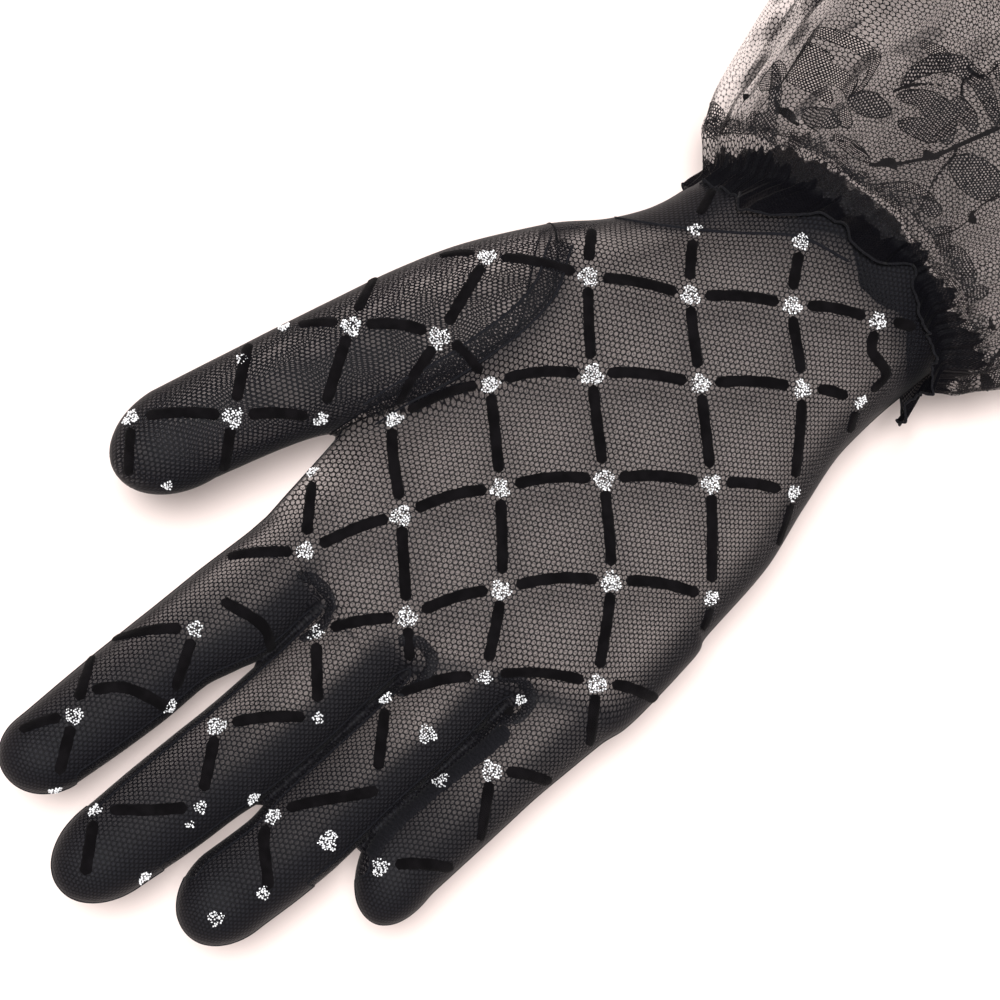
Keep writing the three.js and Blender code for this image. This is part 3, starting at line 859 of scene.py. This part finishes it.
# Bars run along these pixel paths and stop short of the dots
BAR_COLUMNS = [
    [(593, 205), (593, 220), (588, 277), (592, 375), (604, 480), (611, 582), (597, 684), (590, 745)],
    [(712, 190), (695, 230), (690, 296), (700, 384), (711, 484), (711, 598), (703, 630)],
    [(801, 242), (792, 306), (802, 389), (793, 493), (778, 545)],
    [(878, 321), (872, 350), (886, 375), (860, 402), (850, 432)],
    [(487, 257), (439, 338), (394, 418), (401, 516), (407, 617), (410, 660)],
    [(490, 384), (500, 489), (501, 590), (485, 677)],
    [(313, 472), (305, 551)],
    [(378, 270), (351, 326), (321, 419)],
    [(248, 345), (233, 417), (224, 470)],
    [(131, 418), (128, 475)],
    [(195, 629), (170, 706)],
    [(222, 600), (262, 625), (272, 650)],
    [(93, 652), (74, 716), (55, 790)],
    [(316, 633), (318, 718)],
    [(217, 726), (200, 807)],
    [(95, 811), (85, 875)],
    [(386, 699), (378, 770)],
    [(378, 790), (273, 817), (268, 890)],
    [(491, 771), (481, 840)],
    [(521, 700), (505, 715)],
]
BAR_ROWS = [
    [(440, 256), (487, 257), (588, 277), (690, 296), (792, 306), (878, 321), (915, 328)],
    [(270, 330), (284, 328), (351, 326), (439, 338), (490, 384)],
    [(394, 418), (490, 384), (592, 375), (700, 384), (802, 389), (860, 402), (880, 405)],
    [(213, 560), (305, 551), (401, 516), (500, 489), (604, 480), (711, 484), (793, 493), (812, 494)],
    [(316, 633), (407, 617), (501, 590), (611, 582), (711, 598), (730, 604)],
    [(386, 699), (485, 677), (597, 684), (662, 702)],
    [(131, 418), (233, 417), (321, 419)],
    [(110, 640), (195, 629)],
    [(20, 730), (74, 716)],
    [(92, 690), (125, 692), (168, 708)],
    [(217, 726), (318, 718)],
    [(80, 815), (95, 811), (150, 815), (200, 807)],
    [(253, 798), (273, 817)],
    [(491, 771), (550, 782)],
    [(380, 867), (452, 868)],
]
BAR_WIDTH, BAR_HEIGHT = 2.1, 0.32
ROW_ARCH = 5.0
COLUMN_GAPS, ROW_GAPS = (10.0, 16.0), (15.0, 13.0)
dot_places = np.array([dot[:2] for dot in DOTS], float)


def bars_on(path, arch, gaps):
    """The pixel lines of the bars between the dots of a path."""
    path = np.array(path, float)
    at_dot = [np.abs(dot_places - p).max(1).min() < 1 for p in path]
    cuts = [0] + [k for k in range(1, len(path) - 1) if at_dot[k]] + [len(path) - 1]
    for a, b in zip(cuts, cuts[1:]):
        line = curve(path[max(a - 1, 0):b + 2], 1.0)
        first = np.abs(line - path[a]).sum(1).argmin()
        last = np.abs(line - path[b]).sum(1).argmin()
        line, run = even(line[first:last + 1], 1.0)
        line[:, 1] -= arch * np.sin(math.pi * run / run[-1]) * min(1, run[-1] / 90)
        line = line[(run >= gaps[0] * at_dot[a]) & (run <= run[-1] - gaps[1] * at_dot[b])]
        if len(line) > 8:
            yield line


def grains(place, radius, count):
    """A cluster of small many-sided grains lying on the hand's surface."""
    normal = unit(slope_of(glove_field, place[None])[1])[0]
    one = unit(np.cross(normal, [0.3, 1.0, 0.2]))
    two = np.cross(normal, one)
    spots = []
    for _ in range(500):
        turn, away = rng.uniform(0, 2 * math.pi), radius * math.sqrt(rng.uniform())
        limit = radius * (0.86 + 0.14 * math.sin(3 * turn + place[0]) + 0.10 * math.sin(5 * turn + place[1]))
        spot = np.array([away * math.cos(turn), away * math.sin(turn)])
        if away < limit and all(np.linalg.norm(spot - other) > 0.33 for other in spots):
            spots.append(spot)
        if len(spots) == count:
            break
    spots = np.array(spots)
    centres = settle(place + spots[:, :1] * one + spots[:, 1:] * two, glove_field, 2)
    centres = centres + unit(slope_of(glove_field, centres)[1]) * rng.uniform(0.12, 0.34, (len(centres), 1))
    turns = np.arange(6) * math.pi / 3
    body = np.stack([np.cos(turns), np.sin(turns), np.zeros(6)], 1)
    body = np.concatenate([body, [[0, 0, 0.9], [0, 0, -0.9]]])
    ring = np.arange(6)
    shell = np.concatenate([np.stack([ring, (ring + 1) % 6, np.full(6, 6)], 1),
                            np.stack([(ring + 1) % 6, ring, np.full(6, 7)], 1)])
    for centre in centres:
        spin = Matrix.Rotation(rng.uniform(0, 6.28), 3, unit(rng.normal(size=3)))
        size = rng.uniform(0.15, 0.26) * (1 + rng.uniform(-0.2, 0.2, (8, 1)))
        yield centre + (body * size) @ np.array(spin).T, shell


for side, tag in (("palm", "palm_side"), ("back", "back_side")):
    strips = []
    for paths, arch, gaps in ((BAR_COLUMNS, 0.0, COLUMN_GAPS), (BAR_ROWS, ROW_ARCH, ROW_GAPS)):
        for path in paths:
            for line in bars_on(path, arch, gaps):
                line = seen(line, side)
                if len(line) > 3:
                    strips.append(ribbon(line, BAR_WIDTH, BAR_HEIGHT))
    add_strips("flock_bars_" + tag, strips, flock)
    specks = []
    for px, py, radius in DOTS:
        for place in seen([(px, py)], side):
            specks += grains(place, radius, int(12 * radius * radius))
    piece = build("glitter_dots_" + tag, *joined(specks), glitter, sharp=True)

# Seams


def off_hand(p):
    return unit(slope_of(glove_field, p)[1])


def tubes(centres, up, out, radius, around, start, end):
    """Tubes along the segments whose ends start and end number the centres, as points and triangles."""
    turns = np.arange(around)[None, :, None] * 2 * math.pi / around
    rings = centres[:, None] + radius * (np.cos(turns) * up[:, None] + np.sin(turns) * out[:, None])
    a, b = start * around, end * around
    quads = [np.stack([a + k, a + (k + 1) % around, b + (k + 1) % around, b + k], 1) for k in range(around)]
    return rings.reshape(-1, 3), halves(np.concatenate(quads))


def edge_threads(points, faces, radius, keep, up_at=off_hand, around=5):
    """Thread along the free edges of a mesh, as tubes."""
    sides = np.concatenate([faces[:, [k, (k + 1) % 3]] for k in range(3)])
    key = np.sort(sides, axis=1)
    _, first, count = np.unique(key, axis=0, return_index=True, return_counts=True)
    border = sides[first[count == 1]]
    border = border[keep(points[border].mean(1))]
    after, before = np.full(len(points), -1), np.full(len(points), -1)
    after[border[:, 0]], before[border[:, 1]] = border[:, 1], border[:, 0]
    after = np.where(after < 0, np.arange(len(points)), after)
    before = np.where(before < 0, np.arange(len(points)), before)
    used = np.unique(border)
    number = np.zeros(len(points), int)
    number[used] = np.arange(len(used))
    for _ in range(6):
        between = 0.5 * points + 0.25 * (points[after] + points[before])
        points = np.where((after != before)[:, None], between, points)
    ahead = unit(points[after[used]] - points[before[used]])
    up = up_at(points[used])
    start, end = number[border].T
    return tubes(points[used], up, np.cross(up, ahead), radius, around, start, end)


def above_frill(p):
    return wrist_value(p) > 2.0


seam_meshes = [edge_threads(*mesh, 0.2, above_frill) for mesh in (thumb_mesh, front)]
seam_piece = build("seam_threads", *joined(seam_meshes), seam_thread)

THUMB_BAND = [(563, 240), (557, 256), (546, 288), (520, 318), (480, 348), (440, 374), (400, 395), (368, 416)]
FINGER_BANDS = [
    [(297, 574), (318, 583), (331, 604), (320, 628), (300, 640)],
    [(398, 640), (420, 643), (432, 662), (418, 684), (396, 694)],
    [(497, 676), (520, 680), (531, 697), (521, 716), (500, 722)],
]
OVERLOCK = [(508, 728), (480, 752), (430, 792), (392, 826), (368, 856)]
band = drawn(THUMB_BAND, "palm", 5.0, 0.22, across=9)
add_strips("thumb_seam_band", [band], band_net, with_uv=True, fields={"hole": 0.19, "veil": 0.16})
borders = []
for shift in (-11.0, 12.0):
    path = curve(THUMB_BAND, 2.5)
    aside = unit(np.stack([-np.gradient(path[:, 1]), np.gradient(path[:, 0])], 1))
    borders.append(ribbon(seen(path + shift * aside, "palm"), 0.5, 0.2, across=5))
loops = [drawn(path, "palm", 2.3, 0.26) for path in FINGER_BANDS]
# Closing the holes by 0.80 darkens these loops: denser netting, and painted shade in the crotches between the
# fingers
add_strips("finger_root_bands", loops, band_net, with_uv=True, fields={"hole": 0.17, "veil": 0.80})
borders.append(drawn(WRIST_CREASE, "palm", 0.6, 0.25))
add_strips("seam_bands", borders, seam_thread)
overlock = drawn(OVERLOCK, "palm", 3.8, 0.22, across=9, ribs=(0.95, 0.16), step=0.2)
add_strips("overlock_band", [overlock], hem_thread)

# Frill and cuff

# along, spread at the sides, spread on palm and back, fold depth
FRILL_ROWS = [(-9, 5.4, 3.3, 3.95), (-5.1, 3.6, 2.2, 3.3), (-2.4, 1.6, 1.0, 2.4), (0, 0, 0, 1.8),
              (3.6, 0.2, 0.6, 3.0), (8, 0.4, 1.4, 4.2)]
CUFF_ROWS = [(-72, 21.2, 12.0, 9.2), (-58, 18.2, 10.4, 8.6), (-44, 15.2, 9.0, 8.0), (-32, 12.8, 7.6, 7.2),
             (-22, 10.2, 6.2, 6.2), (-12, 7.0, 4.2, 4.5), (-5.1, 3.6, 2.2, 3.3)]
CUFF_START, CUFF_END = -5.1, -72.0
HEM_SWAY = 3.4
OUT = 0.8
FLAT_WIDTH = 330.0
FLAT_PER_TURN = FLAT_WIDTH / (2 * math.pi)
# Frill's hem: turn in degrees, distance from the gather line
HEM_LINE = [
    (0, 4.2), (15, 4.2), (28, 5.0), (38, 6.2), (49, 7.2), (55, 9.0), (61, 10.6), (66, 10.2), (71, 8.0),
    (77, 5.0), (83, 4.2), (90, 6.3), (96, 5.6), (100, 3.4), (104, 0.8), (108, -0.4), (115, 3.0), (125, 3.6),
    (140, 2.8), (160, 4.5), (180, 7.0), (215, 8.2), (240, 6.4), (262, 8.4), (290, 7.0), (318, 7.6),
    (340, 5.6), (360, 4.5),
]
hem_at = column(HEM_LINE)
# Where the dense ruffle gives way to lace on the arm's side: turn in degrees, distance from the gather line
HEADING_LINE = [
    (0, -1.4), (21, -1.8), (36, -2.4), (45, -4.2), (51, -2.4), (60, -1.0), (72, -0.8), (82, 1.0), (90, 0.4),
    (99, -1.8), (108, -3.1), (129, -3.1), (145, -5.4), (180, -4.0), (240, -3.4), (300, -3.0),
    (335, -2.0), (360, -1.4),
]
heading_at = column(HEADING_LINE)


def ruffle_y(turn, along):
    reach = np.clip((along - CUFF_START) / (CUFF_END - CUFF_START), 0, 1)
    keep = 1 - (1 - CUFF_HEM_SHARE) * reach
    return along + GATHER_MIDDLE_Y + (gather_y(turn) - GATHER_MIDDLE_Y) * keep


def fold_wave(turn, along):
    drift = along * 0.006
    main = np.cos(11 * turn + 0.5 * np.sin(3 * turn) + 1.3 + drift)
    small = np.cos(18 * turn + 1.3 * np.sin(2 * turn + 1) - 2 * drift)
    return 0.5 + 0.5 * (0.66 * main + 0.34 * small)


def ring_points(turn, along, rows, extra=0.0):
    at = [column(rows, k) for k in (1, 2, 3)]
    cosine, sine = np.cos(turn), np.sin(turn)
    flat = sine * sine
    wave = fold_wave(turn, along)
    out = OUT + at[0](along) * (1 - flat) + at[1](along) * flat + at[2](along) * wave + extra
    sway = HEM_SWAY * np.maximum(0, along / 8) * (wave - 0.5)
    depth = np.where(sine > 0, WRIST_UP, WRIST_DOWN)
    return np.stack([
        WRIST_MID + (WRIST_HALF + out) * rounded(cosine),
        ruffle_y(turn, along) + sway,
        (depth + out) * rounded(sine),
    ], -1)


def sleeve(turns, shares, place):
    """A closed band of cloth. place gives points and their distance along for turns and shares."""
    turn, share = np.meshgrid(turns, shares, indexing="xy")
    points, along = place(turn.ravel(), share.ravel())
    wide, high = len(turns), len(shares)
    i, j = np.meshgrid(np.arange(wide), np.arange(high - 1), indexing="xy")
    a, b = (j * wide + i).ravel(), (j * wide + (i + 1) % wide).ravel()
    return points, halves(np.stack([a, b, b + wide, a + wide], 1)), turn.ravel(), along


def unwrapped(turn, faces):
    t = turn[faces]
    return np.where(t < t.max(1, keepdims=True) - math.pi, t + 2 * math.pi, t)


def frill_place(turn, share):
    """From the cuff's edge to the hem, with gathers off the gather line and lobes at the hem."""
    hem = hem_at(np.degrees(turn) % 360)
    rag = 0.5 * np.abs(np.sin(34 * turn + np.sin(7 * turn)))
    rag = rag + 0.8 * np.sin(13 * turn + 1) + 0.5 * np.sin(61 * turn)
    start = np.clip(-6.6 - rag, -8.8, -5.2)
    along = start + (hem - start) * share
    fade = np.exp(-np.abs(along) / 5.0)
    ribs = np.sin(96 * turn + 2.0 * np.sin(5 * turn)) + 0.6 * np.sin(151 * turn + 1.4 * np.sin(7 * turn + 1))
    lobes = np.sin(31 * turn + 1.7 * np.sin(4 * turn)) + 0.5 * np.sin(53 * turn + np.sin(6 * turn + 2))
    tuck = 3.4 * share**2 * ramp(np.cos(turn), 0.45, 0.95) - 0.4 * ramp(-along, 3.6, 5.4)
    extra = 0.20 * ribs * (0.35 + 0.65 * fade) + 0.55 * lobes * share**2 + 0.5 * share**3 - tuck
    return ring_points(turn, along, FRILL_ROWS, extra), along


def cuff_place(turn, share):
    along = CUFF_START + (CUFF_END - CUFF_START) * share
    near = np.exp(-share * 12)
    pleats = np.sin(47 * turn + 1.5 * np.sin(5 * turn)) + 0.6 * np.sin(83 * turn + np.sin(9 * turn))
    creases = np.sin(29 * turn + 0.23 * along + 1.2 * np.sin(0.11 * along + 3 * turn))
    extra = (0.16 + 0.14 * near) * pleats + 0.5 * creases * (1 - near)
    return ring_points(turn, along, CUFF_ROWS, extra), along


def off_arm(p):
    return unit(np.stack([p[:, 0] - WRIST_MID, 0 * p[:, 0], p[:, 2]], 1))


def rolled(line, radius):
    """A closed roll of cloth along a ring of points, as points and triangles."""
    ahead = unit(np.roll(line, -1, 0) - np.roll(line, 1, 0))
    out = off_arm(line)
    out = unit(out - ahead * (out * ahead).sum(1, keepdims=True))
    ring = np.arange(len(line))
    return tubes(line, out, np.cross(ahead, out), radius, 6, ring, (ring + 1) % len(line))


frill_turns = np.linspace(0, 2 * math.pi, 1100, endpoint=False)
points, faces, turn, along = sleeve(frill_turns, np.linspace(0, 1, 30), frill_place)
heading_rag = 0.7 * np.sin(27 * turn + 2 * np.sin(5 * turn)) + 0.4 * np.sin(71 * turn)
heading_rag = heading_rag + 0.3 * np.sin(113 * turn + 1)
heading_value = along - heading_at(np.degrees(turn) % 360) - heading_rag
placed = np.concatenate([points, np.stack([turn * FLAT_PER_TURN, along], 1)], 1)
ruffle, ruffle_faces = clip(placed, faces, heading_value)
heading, heading_faces = clip(placed, faces, -heading_value)
cloth, faces = joined([(ruffle, ruffle_faces), (heading, heading_faces)])
dense = net_fields(np.full(len(ruffle), 0.05), FRILL_CELL, 0.30)
sheer = net_fields(np.full(len(heading), 0.85), LACE_CELL, 0.72)
fields = {key: np.concatenate([dense[key], sheer[key]]) for key in dense}
frill_piece = build("frill_ruffle", cloth[:, :3], faces, frill_net, cloth[:, 3:], fields)
frill_piece.data.materials.append(lace_net)
is_heading = np.arange(len(frill_piece.data.polygons)) >= len(ruffle_faces)
frill_piece.data.polygons.foreach_set("material_index", is_heading.astype(np.int32))
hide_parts("wrist_frill")
hem = rolled(frill_place(frill_turns, np.ones_like(frill_turns))[0], 0.24)
build("frill_rolled_hem", *hem, hem_thread)

cuff_turns = np.linspace(0, 2 * math.pi, 760, endpoint=False)
cuff_points, cuff_faces, cuff_turn, cuff_along = sleeve(cuff_turns, np.linspace(0, 1, 84), cuff_place)
cuff_faces = cuff_faces[:, ::-1]
turn, along = cuff_turn, cuff_along
# Painted light on the cuff's net: painted shade near the frill and on the back, and where the lace crumples,
# painted shadow blotches between brighter, more open net
crumple_shadow_blotches = np.sin(17 * turn + 0.35 * along) + np.sin(29 * turn - 0.22 * along + 1)
crumple_shadow_blotches = crumple_shadow_blotches + np.sin(9 * turn + 0.15 * along + 2) + 0.5 * np.sin(51 * turn + 0.5 * along)
crumple_shading_zone = ramp(np.cos(cuff_turn - 0.35), 0.55, 0.9)
cuff_light = (0.96 - 0.25 * np.exp((cuff_along - CUFF_START) / 2.5)) * (1 - 0.10 * (1 - crumple_shading_zone))
cuff_light = cuff_light * (1 - 0.24 * (1 - crumple_shading_zone) * ramp(-np.sin(cuff_turn), -0.1, 0.2))
cuff_light = cuff_light * (1 - (0.10 + 0.50 * crumple_shading_zone) * ramp(crumple_shadow_blotches, 0.9, 1.9))
cuff_most = 0.79 + 0.11 * crumple_shading_zone
cuff_tree = tree_of(cuff_points, cuff_faces)

# Lace motifs: strokes on the flat cloth, found from pixels of the photograph and repeated round the cuff

cuff_flat = np.stack([cuff_turn * FLAT_PER_TURN, cuff_along], 1)


def on_cuff(pixels):
    """Places on the flat cuff behind pixels."""
    found = []
    for pixel in pixels:
        place, _, index, _ = cuff_tree.ray_cast(Vector(EYE), Vector(pixel_ray(*pixel)))
        if index is not None:
            corner = cuff_faces[index]
            system = np.vstack([cuff_points[corner].T, [100.0] * 3])
            weight = np.linalg.lstsq(system, np.append(np.array(place), 100.0), rcond=None)[0]
            turns = unwrapped(cuff_turn, corner[None])[0]
            found.append([weight @ turns * FLAT_PER_TURN, weight @ cuff_along[corner]])
    line = np.array(found).reshape(-1, 2)
    if len(line) < 4:
        return line
    jumps = np.linalg.norm(np.diff(line, axis=0), axis=1) > 5.0
    runs = np.split(line, np.flatnonzero(jumps) + 1)
    line = max(runs, key=len)
    for _ in range(6):
        line[1:-1] = 0.5 * line[1:-1] + 0.25 * (line[:-2] + line[2:])
    return line


def stroke(flat, line, half, leaf):
    """Above zero within half of a line, or within a leaf shape that narrows to its ends."""
    run = distance_run(line)
    best = np.full(len(flat), -99.0)
    for k in range(len(line) - 1):
        a, d = line[k], line[k + 1] - line[k]
        t = np.clip(((flat - a) @ d) / max(d @ d, 1e-9), 0, 1)
        away = np.linalg.norm(flat - a - t[:, None] * d, axis=1)
        place = (run[k] + t * (run[k + 1] - run[k])) / run[-1]
        width = half * (np.sin(math.pi * place) ** 0.6 if leaf else 1.0)
        best = np.maximum(best, width - away)
    return best


# half width, whether it is a leaf, pixel path
LACE_CORDS = [
    (0.45, False, [(870, 165), (885, 166), (930, 158), (960, 145), (998, 128)]),
    (0.26, False, [(893, 92), (920, 84), (955, 90), (968, 110)]),
    (0.90, True, [(874, 168), (885, 158), (897, 170)]),
    (0.70, True, [(922, 150), (934, 161), (942, 150)]),
    (0.26, False, [(905, 228), (920, 208), (934, 180), (958, 150)]),
    (0.24, False, [(934, 236), (960, 228), (980, 205), (998, 195)]),
    (0.24, False, [(808, 150), (835, 140), (862, 150), (874, 166)]),
    (0.60, True, [(968, 210), (972, 220), (976, 226)]),
]
LACE_LEAVES = [
    (1.7, True, [(898, 90), (915, 72), (938, 62), (962, 66), (985, 90), (999, 130)]),
    (2.4, True, [(896, 96), (925, 98), (943, 118), (948, 146)]),
    (1.9, True, [(897, 122), (918, 126), (936, 142)]),
    (1.6, True, [(954, 96), (966, 112), (974, 134)]),
    (3.6, True, [(954, 160), (975, 175), (998, 196)]),
    (1.5, True, [(918, 198), (930, 206), (940, 216)]),
    (1.9, True, [(803, 108), (822, 120), (842, 124)]),
    (2.0, True, [(842, 190), (856, 178), (868, 192)]),
    (1.8, True, [(948, 246), (962, 262), (972, 285)]),
    (1.4, True, [(773, 62), (776, 90), (772, 118), (766, 145)]),
    (2.1, True, [(848, 98), (868, 104), (890, 114)]),
]
REPEAT_ROUND, REPEAT_ALONG = FLAT_WIDTH / 3, 38.0


def motif_value(strokes):
    value = np.full(len(cuff_flat), -99.0)
    for half, leaf, pixels in strokes:
        line = on_cuff(curve(pixels, 4.0))
        if len(line) < 2:
            continue
        centre = line.mean(0)
        flat = cuff_flat - centre
        for down in (0, 1):
            away = (flat[:, 0] + (down + 1) * REPEAT_ROUND / 2) % REPEAT_ROUND - REPEAT_ROUND / 2
            near = np.stack([away, flat[:, 1] + down * REPEAT_ALONG], 1)
            value = np.maximum(value, stroke(near, line - centre, half, leaf))
    return value


def lace_part(value):
    """The cuff's cloth where value is above zero: points, faces, flat places, light and openness."""
    placed = np.concatenate([cuff_points, cuff_flat, np.stack([cuff_light, cuff_most], 1)], 1)
    found, faces = clip(placed, cuff_faces, value)
    return found[:, :3], faces, found[:, 3:5], found[:, 5:].T


def add_lace(name, value, material, lift, fields):
    points, faces, flat, _ = lace_part(value)
    spread = {key: np.full(len(points), value) for key, value in fields.items()}
    piece = build(name, points + lift * off_arm(points), faces, material, flat, spread)


edge_jag = 1.7 * np.sin(9 * turn + 2 * np.sin(3 * turn)) + 1.2 * np.sin(21 * turn + 1)
edge_jag = edge_jag + 0.6 * np.sin(47 * turn)
grid_border = 0.9 + edge_jag + (cuff_along - CUFF_START)
leaves = np.maximum(motif_value(LACE_LEAVES), grid_border)
points, faces, flat, (light, most) = lace_part(-leaves)
cuff_piece = build("cuff_flounce", points, faces, lace_net, flat, net_fields(light, LACE_CELL, most))
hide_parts("lace_cuff")
add_lace("lace_leaves", leaves, lace_grid, 0.0, {"hole": 0.175, "veil": 0.0})
add_lace("lace_cords", motif_value(LACE_CORDS), lace_thread, 0.2, {})


def within_cuff(p):
    """Away from the cuff's own two edges."""
    return (p[:, 1] < CUFF_START + gather_y(wrist_turn(p)) - 1.5) & (p[:, 1] > -86.0)


outline_points, outline_faces = lace_part(leaves)[:2]
outlines = edge_threads(outline_points, outline_faces, 0.13, within_cuff, off_arm, 3)
build("lace_outlines", *outlines, lace_thread)

# Floor, light and the picture's tone

FLOOR_DROP, FLOOR_HALF = 0.014, 4.0
floor_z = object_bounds()[0][2] - FLOOR_DROP
n = Nodes("pale_floor")
tone = n.mix(n.noise(n.place(), 3.0), (0.86, 0.735, 0.695, 1), (0.88, 0.755, 0.715, 1))
floor_material = n.finish(base=tone, roughness=0.9, specular=0.05)
floor_mesh = bpy.data.meshes.new("floor")
corners = [(x * FLOOR_HALF, y * FLOOR_HALF, floor_z) for x, y in ((-1, -1), (1, -1), (1, 1), (-1, 1))]
floor_mesh.from_pydata(corners, [], [(0, 1, 2, 3)])
floor_mesh.materials.append(floor_material)
floor = bpy.data.objects.new("floor", floor_mesh)
bpy.context.collection.objects.link(floor)

world = bpy.data.worlds.new("studio")
bpy.context.scene.world = world
world.use_nodes = True
background = world.node_tree.nodes["Background"]
background.inputs["Color"].default_value = (1.0, 1.0, 1.0, 1)
background.inputs["Strength"].default_value = 0.55
bpy.context.scene.view_settings.view_transform = "Standard"

KEY_PLACE, KEY_TARGET = Vector((0.08, 0.36, 1.35)), Vector((0, 0.06, 0))
key_data = bpy.data.lights.new("key_light", "AREA")
key_data.shape = "DISK"
key_data.size, key_data.energy = 0.22, 24.5
key_light = bpy.data.objects.new("key_light", key_data)
bpy.context.collection.objects.link(key_light)
key_light.location = KEY_PLACE
key_light.rotation_euler = (KEY_TARGET - KEY_PLACE).to_track_quat("-Z", "Y").to_euler()
